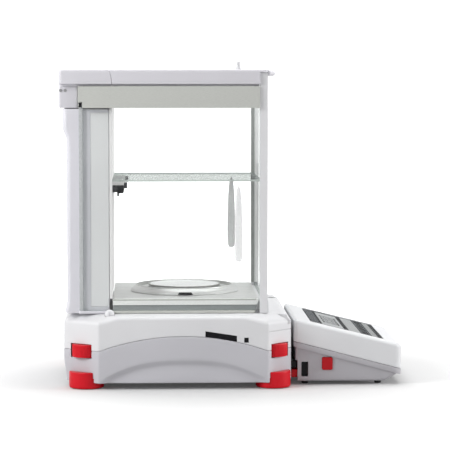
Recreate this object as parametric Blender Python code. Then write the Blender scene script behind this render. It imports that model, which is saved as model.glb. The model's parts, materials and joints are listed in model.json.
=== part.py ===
"""Analytical balance with a glass draught shield and a docked touch terminal.

Units are metres and +Z is up.  +X points to the terminal and the person weighing,
and -Y is that person's left.  The origin is on the bench under the middle of the
overall box.  Each physical piece is one object, and each moving piece has its
origin on the axis of its joint.
"""

from math import cos, hypot, pi, radians, sin, sqrt

import bmesh
import bpy
from mathutils import Matrix, Vector

GAP = 0.0003
SIDES = (("left", -1), ("right", 1))

# Base housings: plan of a rectangle with its four corners cut off
BASE_HALF_WIDTH = 0.115
BASE_END_HALF_WIDTH = 0.085
BASE_REAR_X = -0.1873
BASE_SIDE_REAR_X = -0.1483
BASE_SIDE_FRONT_X = 0.0392
BASE_FRONT_X = 0.0667
BASE_BOTTOM_Z = 0.007
BASE_FLOOR_Z = 0.010
BASE_WALL = 0.003
BASE_SIDE_WALL = 0.007

# Seam between the housings: level round the ends, an arc along each side
SEAM_Z = 0.0425
SEAM_RISE = 0.0165

# Arched recess pressed into each side of the lower housing
ARCH_START_X = -0.1470
ARCH_END_X = 0.0408
ARCH_FOOT_Z = 0.0105
ARCH_TOP_Z = 0.0336
ARCH_POWER = 2.6
ARCH_DEPTH = 0.004
ARCH_STEPS = 24

# Top of the upper housing
CREASE_END_Z = 0.0745
CREASE_MID_Z = 0.0800
CREASE_REAR_X = -0.1250
CREASE_FRONT_X = 0.0100
DECK_Z = 0.0830
DECK_INSET = 0.012
PLATEAU_TOP_Z = 0.0976
PLATEAU_REAR_X = -0.1326
PLATEAU_FRONT_X = 0.0300
PLATEAU_HALF_WIDTH = 0.0910

# Crowned step in front of the front glass, as (x, z) on the middle plane
SHOULDER_HALF_WIDTH = 0.0895
SHOULDER_PROFILE = (
    (0.0290, 0.0760),
    (0.0662, 0.0700),
    (0.0662, 0.0730),
    (0.0625, 0.0770),
    (0.0610, 0.0813),
    (0.0591, 0.0864),
    (0.0562, 0.0874),
    (0.0540, 0.0900),
    (0.0430, 0.0905),
    (0.0408, 0.0915),
    (0.0406, 0.0955),
    (0.0400, 0.0960),
    (0.0290, 0.0960),
)
SHOULDER_FLAT_X = 0.0406
SHOULDER_FOOT_Z = 0.0800
SHOULDER_CROWN = 0.92
SHOULDER_STEPS = 16

# Bubble level let into the shoulder
VIAL_X = 0.0480
VIAL_RADIUS = 0.0055
VIAL_LOW_Z = 0.0850
VIAL_TOP_Z = 0.0895

# Levelling feet and their wheels
FOOT_INSET = 0.0095
FOOT_RADIUS = 0.0195
FOOT_LOW_Z = 0.0118
FOOT_HIGH_Z = 0.0186
FOOT_SOCKET_Z = 0.0032
FOOT_BOSS_Z = 0.0155
WHEEL_RADIUS = 0.0160
WHEEL_LOW_Z = 0.0349
WHEEL_HIGH_Z = 0.0491
WHEEL_CLEARANCE = 0.0008
SPINDLE_RADIUS = 0.0040
SPINDLE_CLEARANCE = 0.0004
SPINDLE_END_Z = 0.0036

# Weighing chamber
PAN_X = -0.0513
FLOOR_TOP_Z = 0.0991
FLOOR_FRONT_X = 0.0297
RING_RADIUS = 0.0620
RING_RIM_RADIUS = 0.0550
RING_HOLE_RADIUS = 0.0450
RING_TOP_Z = 0.1070
PAN_RADIUS = 0.0415
PAN_TOP_Z = 0.1075
PAN_HUB_RADIUS = 0.0070
STEM_RADIUS = 0.0040
STEM_TOP_Z = 0.1020
REAR_WALL_X = -0.1359
REAR_WALL_THICKNESS = 0.003
SHELF_LOW_Z = 0.2290
SHELF_THICKNESS = 0.0023
SHELF_HALF_WIDTH = 0.0850
LEDGE_FRONT_X = -0.1200
LEDGE_LOW_Z = 0.2247
LEDGE_HALF_WIDTH = 0.0790

# Draught shield
GLASS = 0.003
DOOR_INNER_Y = 0.0955
DOOR_REAR_X = -0.1693
DOOR_FRONT_X = 0.0304
DOOR_LOW_Z = 0.0866
DOOR_HIGH_Z = 0.3160
RAIL_LOW_Z = 0.0833
COLUMN_HALF_WIDTH = 0.0949
COLUMN_REAR_X = -0.1833
COLUMN_HEAD_X = -0.1873
COLUMN_FRONT_X = -0.1362
COLUMN_TOP_Z = 0.3107
FLANGE_REAR_X = -0.1700
FLANGE_FRONT_X = -0.1330
FLANGE_HALF_WIDTH = 0.0998

# Connector windows in the left wall.
PORT_REAR_X = -0.0299
PORT_FRONT_X = 0.0044
PORT_REAR_Z = (0.0588, 0.0645)
PORT_FRONT_Z = (0.0536, 0.0593)
PORT_OUTER_Y = -0.1135
PORT_INNER_Y = -0.108
PORT_BLOCK_X = (-0.033, 0.020)
PORT_BLOCK_Y = (-0.1077, -0.105)
PORT_BLOCK_Z = (0.050, 0.067)
SMALL_PORT_X = (0.0130, 0.0174)
SMALL_PORT_Z = (0.0523, 0.0573)

# Rear panel with its inlet and sockets.
REAR_PANEL_X = (-0.1870, -0.1846)
REAR_PANEL_HALF_WIDTH = 0.0597
REAR_PANEL_Z = (0.0473, 0.0687)
REAR_CUT_X = (-0.20, -0.18)
POWER_INLET_AXIS = (-0.042, 0.058)
POWER_INLET_RADIUS = 0.0042
USB_SOCKET_Y = (-0.018, -0.005)
USB_SOCKET_Z = (0.0545, 0.0610)
SERIAL_SOCKET_Y = (0.010, 0.032)
SERIAL_SOCKET_Z = (0.0530, 0.0625)

# Latch knobs beside the rear ends of the side doors.
LATCH_AXIS = (-0.136, 0.08275)
LATCH_RADIUS = 0.00525
LATCH_Y = (0.1013, 0.1065)
LATCH_SLOT_Y = 0.1055
LATCH_SLOT_HALF_WIDTH = 0.0006

# Dock between the base and the terminal.
CONNECTOR_X = (0.0670, 0.0739)
CONNECTOR_HALF_WIDTH = 0.078
CONNECTOR_Z = (0.0188, 0.0268)
DOCK_BAR_X = (0.0670, 0.0752)
DOCK_BAR_HALF_WIDTH = 0.078
DOCK_BAR_Z = (0.0080, 0.0170)
CHEEK_REAR_X = 0.0742
CHEEK_LOW_Z = 0.0052

# Weighing cell.
CELL_X = (-0.118, 0.024)
CELL_TOWER_X = -0.090
CELL_HALF_WIDTH = 0.034
CELL_BASE_Z = 0.0240
CELL_TOWER_Z = 0.0620
MAGNET_RADIUS = 0.020
MAGNET_TOP_Z = 0.0395
BEAM_FRONT_X = 0.014
BEAM_HALF_WIDTH = 0.006
BEAM_Z = (0.0440, 0.0520)
COIL_RADIUS = 0.010
COIL_Z = (0.0400, 0.0480)
STEM_LOW_Z = 0.0560
STEM_BLOCK_X = 0.007
STEM_BLOCK_Y = 0.008
STEM_BLOCK_TOP_Z = 0.0600
BOARD_X = (-0.178, -0.124)
BOARD_HALF_WIDTH = 0.068
BOARD_Z = (0.0240, 0.0256)
PILLAR_X = (-0.172, -0.130)
PILLAR_Y = 0.060
PILLAR_RADIUS = 0.003

# Calibration weight, cam and motor.
CALIBRATION_X = -0.072
CAM_AXIS_Z = 0.0500
CAM_RADIUS = 0.008
CAM_THROW = 0.0015
CAM_Y = (0.019, 0.027)
WEIGHT_AXIS_Z = 0.0680
WEIGHT_ROD_RADIUS = 0.004
WEIGHT_ROD_Y = 0.030
WEIGHT_RADIUS = 0.008
WEIGHT_Y = (0.012, 0.029)
SHAFT_RADIUS = 0.0025
SHAFT_Y = (0.018, 0.033)
MOTOR_X = 0.014
MOTOR_Y = (0.031, 0.062)
MOTOR_Z = 0.012

# Bottom door rails.
RAIL_Y = (0.0913, 0.1000)
RAIL_GROOVE_Y = 0.0932
RAIL_GROOVE_Z = 0.0920
RAIL_LIP_Y = 0.0952
RAIL_TOP_Z = 0.0989
RAIL_MITRE_Z = 0.0995
RAIL_MITRE = 0.005

# Discharge bar on the rear wall.
IONISER_STEP_X = -0.1270
IONISER_FRONT_X = -0.1209
IONISER_Z = (0.2169, 0.2236)
IONISER_LIP_Z = 0.2157
IONISER_LEG_X = (-0.1276, -0.1254)
IONISER_LEG_Z = (0.2124, 0.2165)
IONISER_HOOK_X = (-0.1215, -0.1180)
IONISER_HOOK_Z = (0.2213, 0.2240)
IONISER_TIP_X = -0.1164
IONISER_TIP_Z = 0.2276

# Covers and their rails.
COVER_RAIL_Y = (0.0886, 0.0980)
COVER_RAIL_FRONT_X = 0.030
COVER_RAIL_INSET = 0.004
COVER_CUT_Z = (0.33, 0.36)

# Small fittings of the shield.
RUNNER_X = (-0.1699, -0.1657)
RUNNER_Z = (0.3120, 0.3166)
RUNNER_THICKNESS = 0.0025
RUNNER_NOTCH_X = -0.1653
RUNNER_NOTCH_Z = 0.3173
SHELF_FRONT_X = 0.0333
SHELF_REST_X = (0.0310, 0.0334)
SHELF_REST_Y = 0.0820
SHELF_REST_Z = 0.2245
FRONT_GLASS_X = (0.0337, 0.0377)
FRONT_GLASS_HALF_WIDTH = 0.0899
FRONT_GLASS_LOW_Z = 0.0963
HANDLE_X = 0.0071
HANDLE_HALF_WIDTH = 0.0046
HANDLE_Z = (0.1407, 0.2256)
HANDLE_WIDEST_Z = 0.1560
HANDLE_THICKNESS = 0.005
HANDLE_BLUNTNESS = 0.4

# Terminal fittings.
SLOT_X = (0.0784, 0.0862)
SLOT_INNER_Y = 0.077
SLOT_Z = (0.0094, 0.0262)
BUTTON_X = (0.1017, 0.1134)
BUTTON_Z = (0.0170, 0.0312)
BUTTON_Y = (0.0770, 0.0846)
BUTTON_RIM = 0.002
BUTTON_RIM_Y = (0.0762, 0.0790)
TERMINAL_FOOT_X = (("rear", 0.0834), ("front", 0.1660))
TERMINAL_FOOT_Y = 0.068
TERMINAL_FOOT_RADIUS = 0.0038
DISPLAY_X = (0.0955, 0.1665)
DISPLAY_HALF_WIDTH = 0.0635
TERMINAL_BOARD_X = (0.0850, 0.1750)
TERMINAL_BOARD_HALF_WIDTH = 0.0750

# Heights at which the column's rear face bends, below its head and above its foot.
COLUMN_HEAD_LOW_Z = 0.2910
COLUMN_NECK_HIGH_Z = 0.2850
COLUMN_NECK_LOW_Z = 0.2760
COLUMN_WAIST_HIGH_Z = 0.2700
COLUMN_WAIST_LOW_Z = 0.0970
COLUMN_FLARE_Z = 0.0920
COLUMN_FLARE = 0.0130
COLUMN_WALL = 0.004
COLUMN_CAVITY_LOW_Z = 0.104
CABLE_DUCT_HALF_WIDTH = 0.070
CABLE_DUCT_Z = (0.080, 0.110)

# Section of the draught ring and of the pan, inside their outer edges.
RING_LIP = 0.0010
RING_WELL_RADIUS = 0.0500
RING_WELL_TOP_Z = 0.1036
RING_HOLE_Z = (0.1014, 0.1026)
RING_WELL_LOW_Z = 0.1022
RING_NECK_RADIUS = 0.0535
RING_NECK_Z = 0.1046
RING_WALL = 0.0022
NOTCH_HALF_WIDTH = (0.010, 0.0075)
NOTCH_HEIGHT = 0.0022
NOTCH_Y = (-0.066, -0.054)
PAN_DISH_Z = 0.1066
PAN_RIM = 0.0022
PAN_RIM_CREST = 0.0012
PAN_LOW_Z = 0.1056
PAN_BELLY_RADIUS = 0.0300
PAN_BELLY_Z = 0.1050
PAN_HUB_TOP_Z = 0.1046
PAN_HUB_LOW = 0.0005

# Terminal outlines.
TERMINAL_SHELL_REAR_X = 0.0715
TERMINAL_SOLE_X = (0.0794, 0.1720)
TERMINAL_HEEL_Z = 0.0052
TERMINAL_TOE = ((0.1835, 0.0084), (0.1863, 0.0124))
TERMINAL_TOE_X = 0.1890
TERMINAL_NOSE = ((0.1900, 0.0432), 0.0400)
TERMINAL_TOP_X = (0.0730, 0.1860)
TERMINAL_SHOULDER = (0.0704, 0.0733)
TERMINAL_BACK_Z = 0.0705

# Reach of a cutter that passes right across the base.
ACROSS = 0.13
HEADER_REAR_X = -0.1701
HEADER_LOW_Z = 0.3110
HEADER_HIGH_Z = 0.3349
HEADER_INNER_Y = 0.0880
SHIELD_HALF_WIDTH = 0.1030
COVER_REAR_X = -0.1913
COVER_LOW_Z = 0.3373
COVER_HIGH_Z = 0.3535
COVER_SEAM_LOW_X = -0.1329
COVER_SEAM_HIGH_X = -0.1363
POST_REAR_X = 0.0307
POST_FRONT_X = 0.0394
POST_INNER_Y = 0.0902
POST_OUTER_Y = 0.1000
POST_TOP_Z = 0.3499
TOP_DOOR_LOW_Z = 0.3453
TOP_DOOR_HALF_WIDTH = 0.0890
TOP_OPENING_HALF_WIDTH = 0.0850
TOP_OPENING_REAR_X = -0.1280
TOP_OPENING_FRONT_X = 0.0240
LIP_CORNER_X = 0.0424
LIP_NOSE_X = 0.0527
LIP_LOW_Z = 0.3460
KNOB_X = 0.0112
KNOB_TOP_Z = 0.3630

# Terminal: a wedge whose top falls towards the front
TERMINAL_REAR_X = 0.0694
TERMINAL_FRONT_X = 0.1913
TERMINAL_HALF_WIDTH = 0.085
TERMINAL_BODY_HALF_WIDTH = 0.0825
TERMINAL_WALL = 0.003
TERMINAL_SLOPE = 0.2476
TERMINAL_REF_X = 0.0897
TERMINAL_REF_Z = 0.0703
TERMINAL_SEAM_SLOPE = 0.263
TERMINAL_SEAM_REAR_Z = 0.0496
TERMINAL_BAND = 0.0062
TERMINAL_BOTTOM_Z = 0.004
DOCK_STEP_X = 0.0782
DOCK_STEP_Z = 0.0280
SCREEN_REAR_X = 0.0897
SCREEN_FRONT_X = 0.1727
SCREEN_HALF_WIDTH = 0.0700
SCREEN_THICKNESS = 0.002

WHITE = (0.86, 0.86, 0.88)
PALE_GREY = (0.66, 0.66, 0.70)
GREEN_GREY = (0.52, 0.54, 0.50)
RED = (0.72, 0.03, 0.05)
BLACK = (0.02, 0.02, 0.022)
STEEL = (0.62, 0.62, 0.60)
CLEAR = (0.80, 0.86, 0.84)
MILKY = (0.90, 0.90, 0.92)


# ---------------------------------------------------------------- helpers

def clear_scene():
    """Remove whatever the file starts with."""
    for old in list(bpy.data.objects):
        bpy.data.objects.remove(old, do_unlink=True)


def look(name, color, roughness=0.45, metallic=0.0, transmission=0.0):
    """A plain Principled material."""
    material = bpy.data.materials.new(name)
    material.use_nodes = True
    shader = material.node_tree.nodes["Principled BSDF"]
    shader.inputs["Base Color"].default_value = (*color, 1.0)
    shader.inputs["Roughness"].default_value = roughness
    shader.inputs["Metallic"].default_value = metallic
    shader.inputs["Transmission Weight"].default_value = transmission
    return material


def place(point, axis):
    """Turn (u, v, w) into world X, Y, Z, with w along the given axis."""
    u, v, w = point
    if axis == "X":
        return (w, u, v)
    if axis == "Y":
        return (u, w, v)
    return (u, v, w)


def loft(rings, axis="Z"):
    """Closed skin through rings of (u, v, w) points, capped at both ends."""
    shape = bmesh.new()
    loops = [[shape.verts.new(place(p, axis)) for p in ring] for ring in rings]
    count = len(rings[0])
    shape.faces.new(reversed(loops[0]))
    shape.faces.new(loops[-1])
    for lower, upper in zip(loops, loops[1:]):
        for i in range(count):
            j = (i + 1) % count
            shape.faces.new((lower[i], lower[j], upper[j], upper[i]))
    bmesh.ops.recalc_face_normals(shape, faces=shape.faces)
    return shape


def prism(outline, low, high, axis="Z"):
    """A 2D outline extruded from low to high along an axis."""
    return loft([[(u, v, w) for u, v in outline] for w in (low, high)], axis)


def box(x, y, z):
    """A block from three (low, high) pairs."""
    outline = [(x[0], y[0]), (x[1], y[0]), (x[1], y[1]), (x[0], y[1])]
    return prism(outline, *z)


def wider(span):
    """A span with the standard gap added at both ends."""
    return (span[0] - GAP, span[1] + GAP)


def mirrored_box(x, y, z, side):
    """A block whose y pair is measured outwards from the middle plane."""
    return box(x, tuple(sorted((side * y[0], side * y[1]))), z)


def circle(centre, radius, steps=48):
    """Points round a circle in the plane of an outline."""
    angles = [2 * pi * i / steps for i in range(steps)]
    return [(centre[0] + radius * cos(a), centre[1] + radius * sin(a)) for a in angles]


def cylinder(centre, radius, low, high, axis="Z", steps=32):
    """A round bar along an axis."""
    return prism(circle(centre, radius, steps), low, high, axis)


def turned(profile, centre, steps=48):
    """A (radius, height) outline turned about a vertical axis, closed at radius 0."""
    shape = bmesh.new()
    columns = []
    for i in range(steps):
        angle = 2 * pi * i / steps
        column = []
        for index, (radius, height) in enumerate(profile):
            if radius == 0 and i > 0:
                column.append(columns[0][index])
                continue
            x = centre[0] + radius * cos(angle)
            y = centre[1] + radius * sin(angle)
            column.append(shape.verts.new((x, y, height)))
        columns.append(column)
    for i in range(steps):
        this, following = columns[i], columns[(i + 1) % steps]
        for j in range(len(profile)):
            k = (j + 1) % len(profile)
            points = dict.fromkeys((this[j], following[j], following[k], this[k]))
            if len(points) > 2:
                shape.faces.new(tuple(points))
    bmesh.ops.recalc_face_normals(shape, faces=shape.faces)
    return shape


def joined(*shapes):
    """Several shapes that don't touch, in one bmesh."""
    mesh = bpy.data.meshes.new("joined")
    total = shapes[0]
    for shape in shapes[1:]:
        shape.to_mesh(mesh)
        total.from_mesh(mesh)
        shape.free()
    bpy.data.meshes.remove(mesh)
    return total


def as_object(name, shape, pivot=(0.0, 0.0, 0.0)):
    """Put a shape, made in world coordinates, into an object with its origin at pivot."""
    bmesh.ops.transform(shape, matrix=Matrix.Translation(-Vector(pivot)), verts=shape.verts)
    mesh = bpy.data.meshes.new(name)
    shape.to_mesh(mesh)
    shape.free()
    piece = bpy.data.objects.new(name, mesh)
    piece.location = pivot
    bpy.context.scene.collection.objects.link(piece)
    return piece


def piece(name, shape, material, pivot=(0.0, 0.0, 0.0), smooth=False):
    """A named sub-part with its own material."""
    result = as_object(name, shape, pivot)
    result.data.materials.append(material)
    if smooth:
        result.data.shade_smooth()
        result.data.set_sharp_from_angle(angle=radians(35))
    return result


def combine(target, shape, operation):
    """Add or cut a shape with a Boolean whose helper stays hidden."""
    helper = as_object(f"{target.name}_helper_{len(target.modifiers)}", shape)
    helper.hide_render = True
    helper.display_type = "WIRE"
    modifier = target.modifiers.new(operation.lower(), "BOOLEAN")
    modifier.operation = operation
    modifier.object = helper
    return target


def cut(target, *shapes):
    """Cut each shape out of the target."""
    for shape in shapes:
        combine(target, shape, "DIFFERENCE")


def join(target, *shapes):
    """Fuse each shape onto the target."""
    for shape in shapes:
        combine(target, shape, "UNION")


def inset(outline, distance, widest=None):
    """Move every edge of a convex outline inwards, no further out than widest in y."""
    result = []
    for i, point in enumerate(outline):
        before = Vector(outline[i - 1])
        here = Vector(point)
        after = Vector(outline[(i + 1) % len(outline)])
        normals = []
        for start, end in ((before, here), (here, after)):
            along = (end - start).normalized()
            normals.append(Vector((-along.y, along.x)))
        bisector = (normals[0] + normals[1]) / (1 + normals[0].dot(normals[1]))
        moved = here + distance * bisector
        if widest is not None:
            moved.y = max(-widest, min(widest, moved.y))
        result.append((moved.x, moved.y))
    return result


# ---------------------------------------------------------------- shared curves

def base_outline():
    """Plan of the base, anticlockwise from the left side's rear end."""
    half, end = BASE_HALF_WIDTH, BASE_END_HALF_WIDTH
    left = [
        (BASE_SIDE_REAR_X, -half),
        (CREASE_REAR_X, -half),
        (CREASE_FRONT_X, -half),
        (BASE_SIDE_FRONT_X, -half),
        (BASE_FRONT_X, -end),
    ]
    right = [(x, -y) for x, y in reversed(left)]
    return left + right + [(BASE_REAR_X, end), (BASE_REAR_X, -end)]


def crease_height(x):
    """Height where the side walls turn in to the deck."""
    if CREASE_REAR_X <= x <= CREASE_FRONT_X:
        return CREASE_MID_Z
    return CREASE_END_Z


def seam_points(offset):
    """Seam between the housings, rear to front, moved up by offset."""
    middle = (BASE_SIDE_REAR_X + BASE_SIDE_FRONT_X) / 2
    half_chord = (BASE_SIDE_FRONT_X - BASE_SIDE_REAR_X) / 2
    radius = (half_chord ** 2 + SEAM_RISE ** 2) / (2 * SEAM_RISE)
    centre_z = SEAM_Z + SEAM_RISE - radius
    arc = []
    for i in range(ARCH_STEPS + 1):
        x = middle + half_chord * (2 * i / ARCH_STEPS - 1)
        arc.append((x, centre_z + sqrt(radius ** 2 - (x - middle) ** 2) + offset))
    return [(BASE_REAR_X - 0.02, SEAM_Z + offset)] + arc + [(BASE_FRONT_X + 0.02, SEAM_Z + offset)]


def arch_points():
    """Upper edge of the arched recess in the lower housing's side."""
    points = []
    for i in range(ARCH_STEPS + 1):
        t = i / ARCH_STEPS
        x = ARCH_START_X + (ARCH_END_X - ARCH_START_X) * t
        rise = 1 - abs(2 * t - 1) ** ARCH_POWER
        points.append((x, ARCH_FOOT_Z + (ARCH_TOP_Z - ARCH_FOOT_Z) * rise))
    return points


def corners():
    """Name, foot axis, chamfer middle and outward direction of each base corner."""
    found = []
    for end, x_side, x_end in (("rear", BASE_SIDE_REAR_X, BASE_REAR_X),
                               ("front", BASE_SIDE_FRONT_X, BASE_FRONT_X)):
        for side, sign in SIDES:
            middle = Vector(((x_side + x_end) / 2,
                             sign * (BASE_HALF_WIDTH + BASE_END_HALF_WIDTH) / 2))
            run = abs(x_end - x_side)
            drop = BASE_HALF_WIDTH - BASE_END_HALF_WIDTH
            length = hypot(run, drop)
            forward = 1 if x_end > x_side else -1
            outward = Vector((forward * drop / length, sign * run / length))
            axis = middle - FOOT_INSET * outward
            found.append((f"{end}_{side}", axis, middle, outward))
    return found


def terminal_top(x, offset=0.0):
    """Height of the terminal's sloping top."""
    return TERMINAL_REF_Z - (x - TERMINAL_REF_X) * TERMINAL_SLOPE + offset


def terminal_seam(x, offset=0.0):
    """Height of the seam between the terminal's two shells."""
    return TERMINAL_SEAM_REAR_Z - (x - TERMINAL_REAR_X) * TERMINAL_SEAM_SLOPE + offset


def sloped_slab(x_low, x_high, top, bottom, half_width):
    """A plate parallel to the terminal's top, between two offsets from it."""
    outline = [
        (x_low, terminal_top(x_low, bottom)),
        (x_high, terminal_top(x_high, bottom)),
        (x_high, terminal_top(x_high, top)),
        (x_low, terminal_top(x_low, top)),
    ]
    return prism(outline, -half_width, half_width, "Y")


# ---------------------------------------------------------------- base

def lower_housing(material):
    outline = base_outline()
    housing = piece("lower_housing", prism(outline, BASE_BOTTOM_Z, SEAM_Z + SEAM_RISE + 0.002),
                    material)
    seam = seam_points(0.0)
    above = seam + [(seam[-1][0], 0.09), (seam[0][0], 0.09)]
    cut(housing, prism(above, -ACROSS, ACROSS, "Y"))
    widest = BASE_HALF_WIDTH - BASE_SIDE_WALL
    cavity = as_object("lower_cavity", prism(inset(outline, BASE_WALL, widest),
                                             BASE_FLOOR_Z, 0.1))
    cavity.hide_render = True
    cavity.display_type = "WIRE"
    bosses = [cylinder(axis, FOOT_RADIUS + 0.0035, 0.0, FOOT_BOSS_Z)
              for _, axis, _, _ in corners()]
    cut(cavity, joined(*bosses))
    hollow = housing.modifiers.new("hollow", "BOOLEAN")
    hollow.object = cavity
    for sign in (-1, 1):
        arch = arch_points()
        recess = arch + [(arch[-1][0], 0.0), (arch[0][0], 0.0)]
        face = sorted((sign * (BASE_HALF_WIDTH - ARCH_DEPTH), sign * ACROSS))
        cut(housing, prism(recess, *face, "Y"))
    for _, axis, _, _ in corners():
        cut(housing, cylinder(axis, FOOT_RADIUS + 2 * GAP, 0.0, FOOT_LOW_Z + GAP, steps=48))
        cut(housing, cylinder(axis, SPINDLE_RADIUS + SPINDLE_CLEARANCE, 0.005, 0.02))
        cut(housing, wheel_pocket(axis))


def wheel_pocket(axis):
    """Space a levelling wheel turns in, which opens through the cut-off corner."""
    return cylinder(axis, WHEEL_RADIUS + WHEEL_CLEARANCE, WHEEL_LOW_Z - WHEEL_CLEARANCE,
                    WHEEL_HIGH_Z + WHEEL_CLEARANCE, steps=48)


def housing_shell(distance, drop, low):
    """Closed skin of the upper housing's walls and crowned deck, inset by a wall."""
    outline = base_outline()
    walls = inset(outline, distance)
    deck = inset(outline, distance + DECK_INSET)
    heights = [crease_height(x) for x, _ in outline]
    return loft([
        [(x, y, low) for x, y in walls],
        [(x, y, z - drop) for (x, y), z in zip(walls, heights)],
        [(x, y, DECK_Z - drop) for x, y in deck],
    ])


def shoulder():
    """Skin of the shoulder, lower towards its two ends."""
    rings = []
    for i in range(SHOULDER_STEPS + 1):
        y = SHOULDER_HALF_WIDTH * (2 * i / SHOULDER_STEPS - 1)
        height = 1 - SHOULDER_CROWN * abs(y / SHOULDER_HALF_WIDTH) ** 3
        ring = []
        for x, z in SHOULDER_PROFILE:
            if x > SHOULDER_FLAT_X and z > SHOULDER_FOOT_Z:
                z = SHOULDER_FOOT_Z + (z - SHOULDER_FOOT_Z) * height
            ring.append((x, z, y))
        rings.append(ring)
    return loft(rings, "Y")


def upper_housing(material):
    housing = piece("upper_housing", housing_shell(0.0, 0.0, 0.036), material)
    plateau = box((PLATEAU_REAR_X, PLATEAU_FRONT_X),
                  (-PLATEAU_HALF_WIDTH, PLATEAU_HALF_WIDTH), (0.075, PLATEAU_TOP_Z))
    join(housing, plateau, shoulder())
    cut(housing, housing_shell(BASE_WALL, BASE_WALL + 0.001, 0.030))
    cut(housing, box((PLATEAU_REAR_X + 0.006, PLATEAU_FRONT_X - 0.006),
                     (-0.085, 0.085), (0.076, PLATEAU_TOP_Z - BASE_WALL)))
    seam = seam_points(GAP)
    below = [(seam[-1][0], 0.0), (seam[0][0], 0.0)] + seam
    cut(housing, prism(below, -ACROSS, ACROSS, "Y"))
    for _, axis, _, _ in corners():
        cut(housing, wheel_pocket(axis))
    cut(housing, cylinder((PAN_X, 0.0), STEM_RADIUS + 0.002, 0.09, 0.11))
    cut(housing, cylinder((VIAL_X, 0.0), VIAL_RADIUS + GAP, VIAL_LOW_Z - GAP, 0.11))
    rear, front, low = PORT_REAR_X - GAP, PORT_FRONT_X + GAP, SEAM_Z
    window = [(rear, low), (front, low), (front, PORT_FRONT_Z[1] + GAP), (rear, PORT_REAR_Z[1] + GAP)]
    cut(housing, prism(window, -ACROSS, PORT_INNER_Y, "Y"))
    cut(housing, box(wider(SMALL_PORT_X), (-ACROSS, PORT_INNER_Y), wider(SMALL_PORT_Z)))
    cut(housing, box(REAR_CUT_X, wider((-REAR_PANEL_HALF_WIDTH, REAR_PANEL_HALF_WIDTH)),
                     wider(REAR_PANEL_Z)))
    for _, sign in SIDES:
        pocket = sorted(sign * y for y in wider(LATCH_Y))
        cut(housing, cylinder(LATCH_AXIS, LATCH_RADIUS + GAP, *pocket, "Y"))


def side_port_block(material):
    """Black connector strip seen through two windows in the left wall."""
    block = piece("side_port_block", box(PORT_BLOCK_X, PORT_BLOCK_Y, PORT_BLOCK_Z), material)
    outline = [(PORT_REAR_X, PORT_REAR_Z[0]), (PORT_FRONT_X, PORT_FRONT_Z[0]),
               (PORT_FRONT_X, PORT_FRONT_Z[1]), (PORT_REAR_X, PORT_REAR_Z[1])]
    inner = PORT_BLOCK_Y[1] - 0.001
    join(block, prism(outline, PORT_OUTER_Y, inner, "Y"),
         box(SMALL_PORT_X, (PORT_OUTER_Y, inner), SMALL_PORT_Z))


def rear_port_panel(material):
    """Panel with the power inlet, a USB socket and a serial socket."""
    panel = piece("rear_port_panel",
                  box(REAR_PANEL_X, (-REAR_PANEL_HALF_WIDTH, REAR_PANEL_HALF_WIDTH),
                      REAR_PANEL_Z), material)
    power_inlet = cylinder(POWER_INLET_AXIS, POWER_INLET_RADIUS, *REAR_CUT_X, "X")
    usb_socket = box(REAR_CUT_X, USB_SOCKET_Y, USB_SOCKET_Z)
    serial_socket = box(REAR_CUT_X, SERIAL_SOCKET_Y, SERIAL_SOCKET_Z)
    cut(panel, power_inlet, usb_socket, serial_socket)


def levelling_feet(wheel_material, foot_material):
    for name, axis, middle, outward in corners():
        pivot = (axis.x, axis.y, WHEEL_LOW_Z)
        spindle = [
            (0.0, SPINDLE_END_Z),
            (SPINDLE_RADIUS, SPINDLE_END_Z),
            (SPINDLE_RADIUS, WHEEL_LOW_Z),
            (WHEEL_RADIUS - 0.001, WHEEL_LOW_Z),
            (WHEEL_RADIUS, WHEEL_LOW_Z + 0.001),
            (WHEEL_RADIUS, WHEEL_HIGH_Z - 0.001),
            (WHEEL_RADIUS - 0.001, WHEEL_HIGH_Z),
            (0.0, WHEEL_HIGH_Z),
        ]
        piece(f"levelling_wheel_{name}", turned(spindle, axis, 36), wheel_material, pivot, True)

        shoe = piece(f"foot_{name}",
                     prism(circle(axis, FOOT_RADIUS), 0.0, FOOT_HIGH_Z),
                     foot_material, (axis.x, axis.y, 0.0))
        across = Vector((-outward.y, outward.x))
        edge = middle + GAP * outward
        reach = 2 * FOOT_RADIUS
        step = [edge + reach * across, edge - reach * across,
                edge - reach * across - 2 * reach * outward,
                edge + reach * across - 2 * reach * outward]
        cut(shoe, prism([tuple(p) for p in step], FOOT_LOW_Z, 0.03))
        cut(shoe, cylinder(axis, SPINDLE_RADIUS + SPINDLE_CLEARANCE, FOOT_SOCKET_Z, 0.03))


def dock(connector_material, bar_material):
    piece("dock_connector", box(CONNECTOR_X, (-CONNECTOR_HALF_WIDTH, CONNECTOR_HALF_WIDTH),
                                CONNECTOR_Z), connector_material)
    piece("dock_latch", box(DOCK_BAR_X, (-DOCK_BAR_HALF_WIDTH, DOCK_BAR_HALF_WIDTH), DOCK_BAR_Z),
          bar_material)


def shield_latches(material):
    x, z = LATCH_AXIS
    for side, sign in SIDES:
        span = sorted(sign * y for y in LATCH_Y)
        latch = piece(f"latch_{side}", cylinder(LATCH_AXIS, LATCH_RADIUS, *span, "Y"),
                      material, (x, sum(span) / 2, z), True)
        cut(latch, mirrored_box((x - LATCH_SLOT_HALF_WIDTH, x + LATCH_SLOT_HALF_WIDTH),
                                (LATCH_SLOT_Y, LATCH_Y[1] + 0.001),
                                (z - LATCH_RADIUS, z + 2 * LATCH_RADIUS), sign))


# ---------------------------------------------------------------- weighing cell

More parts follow.
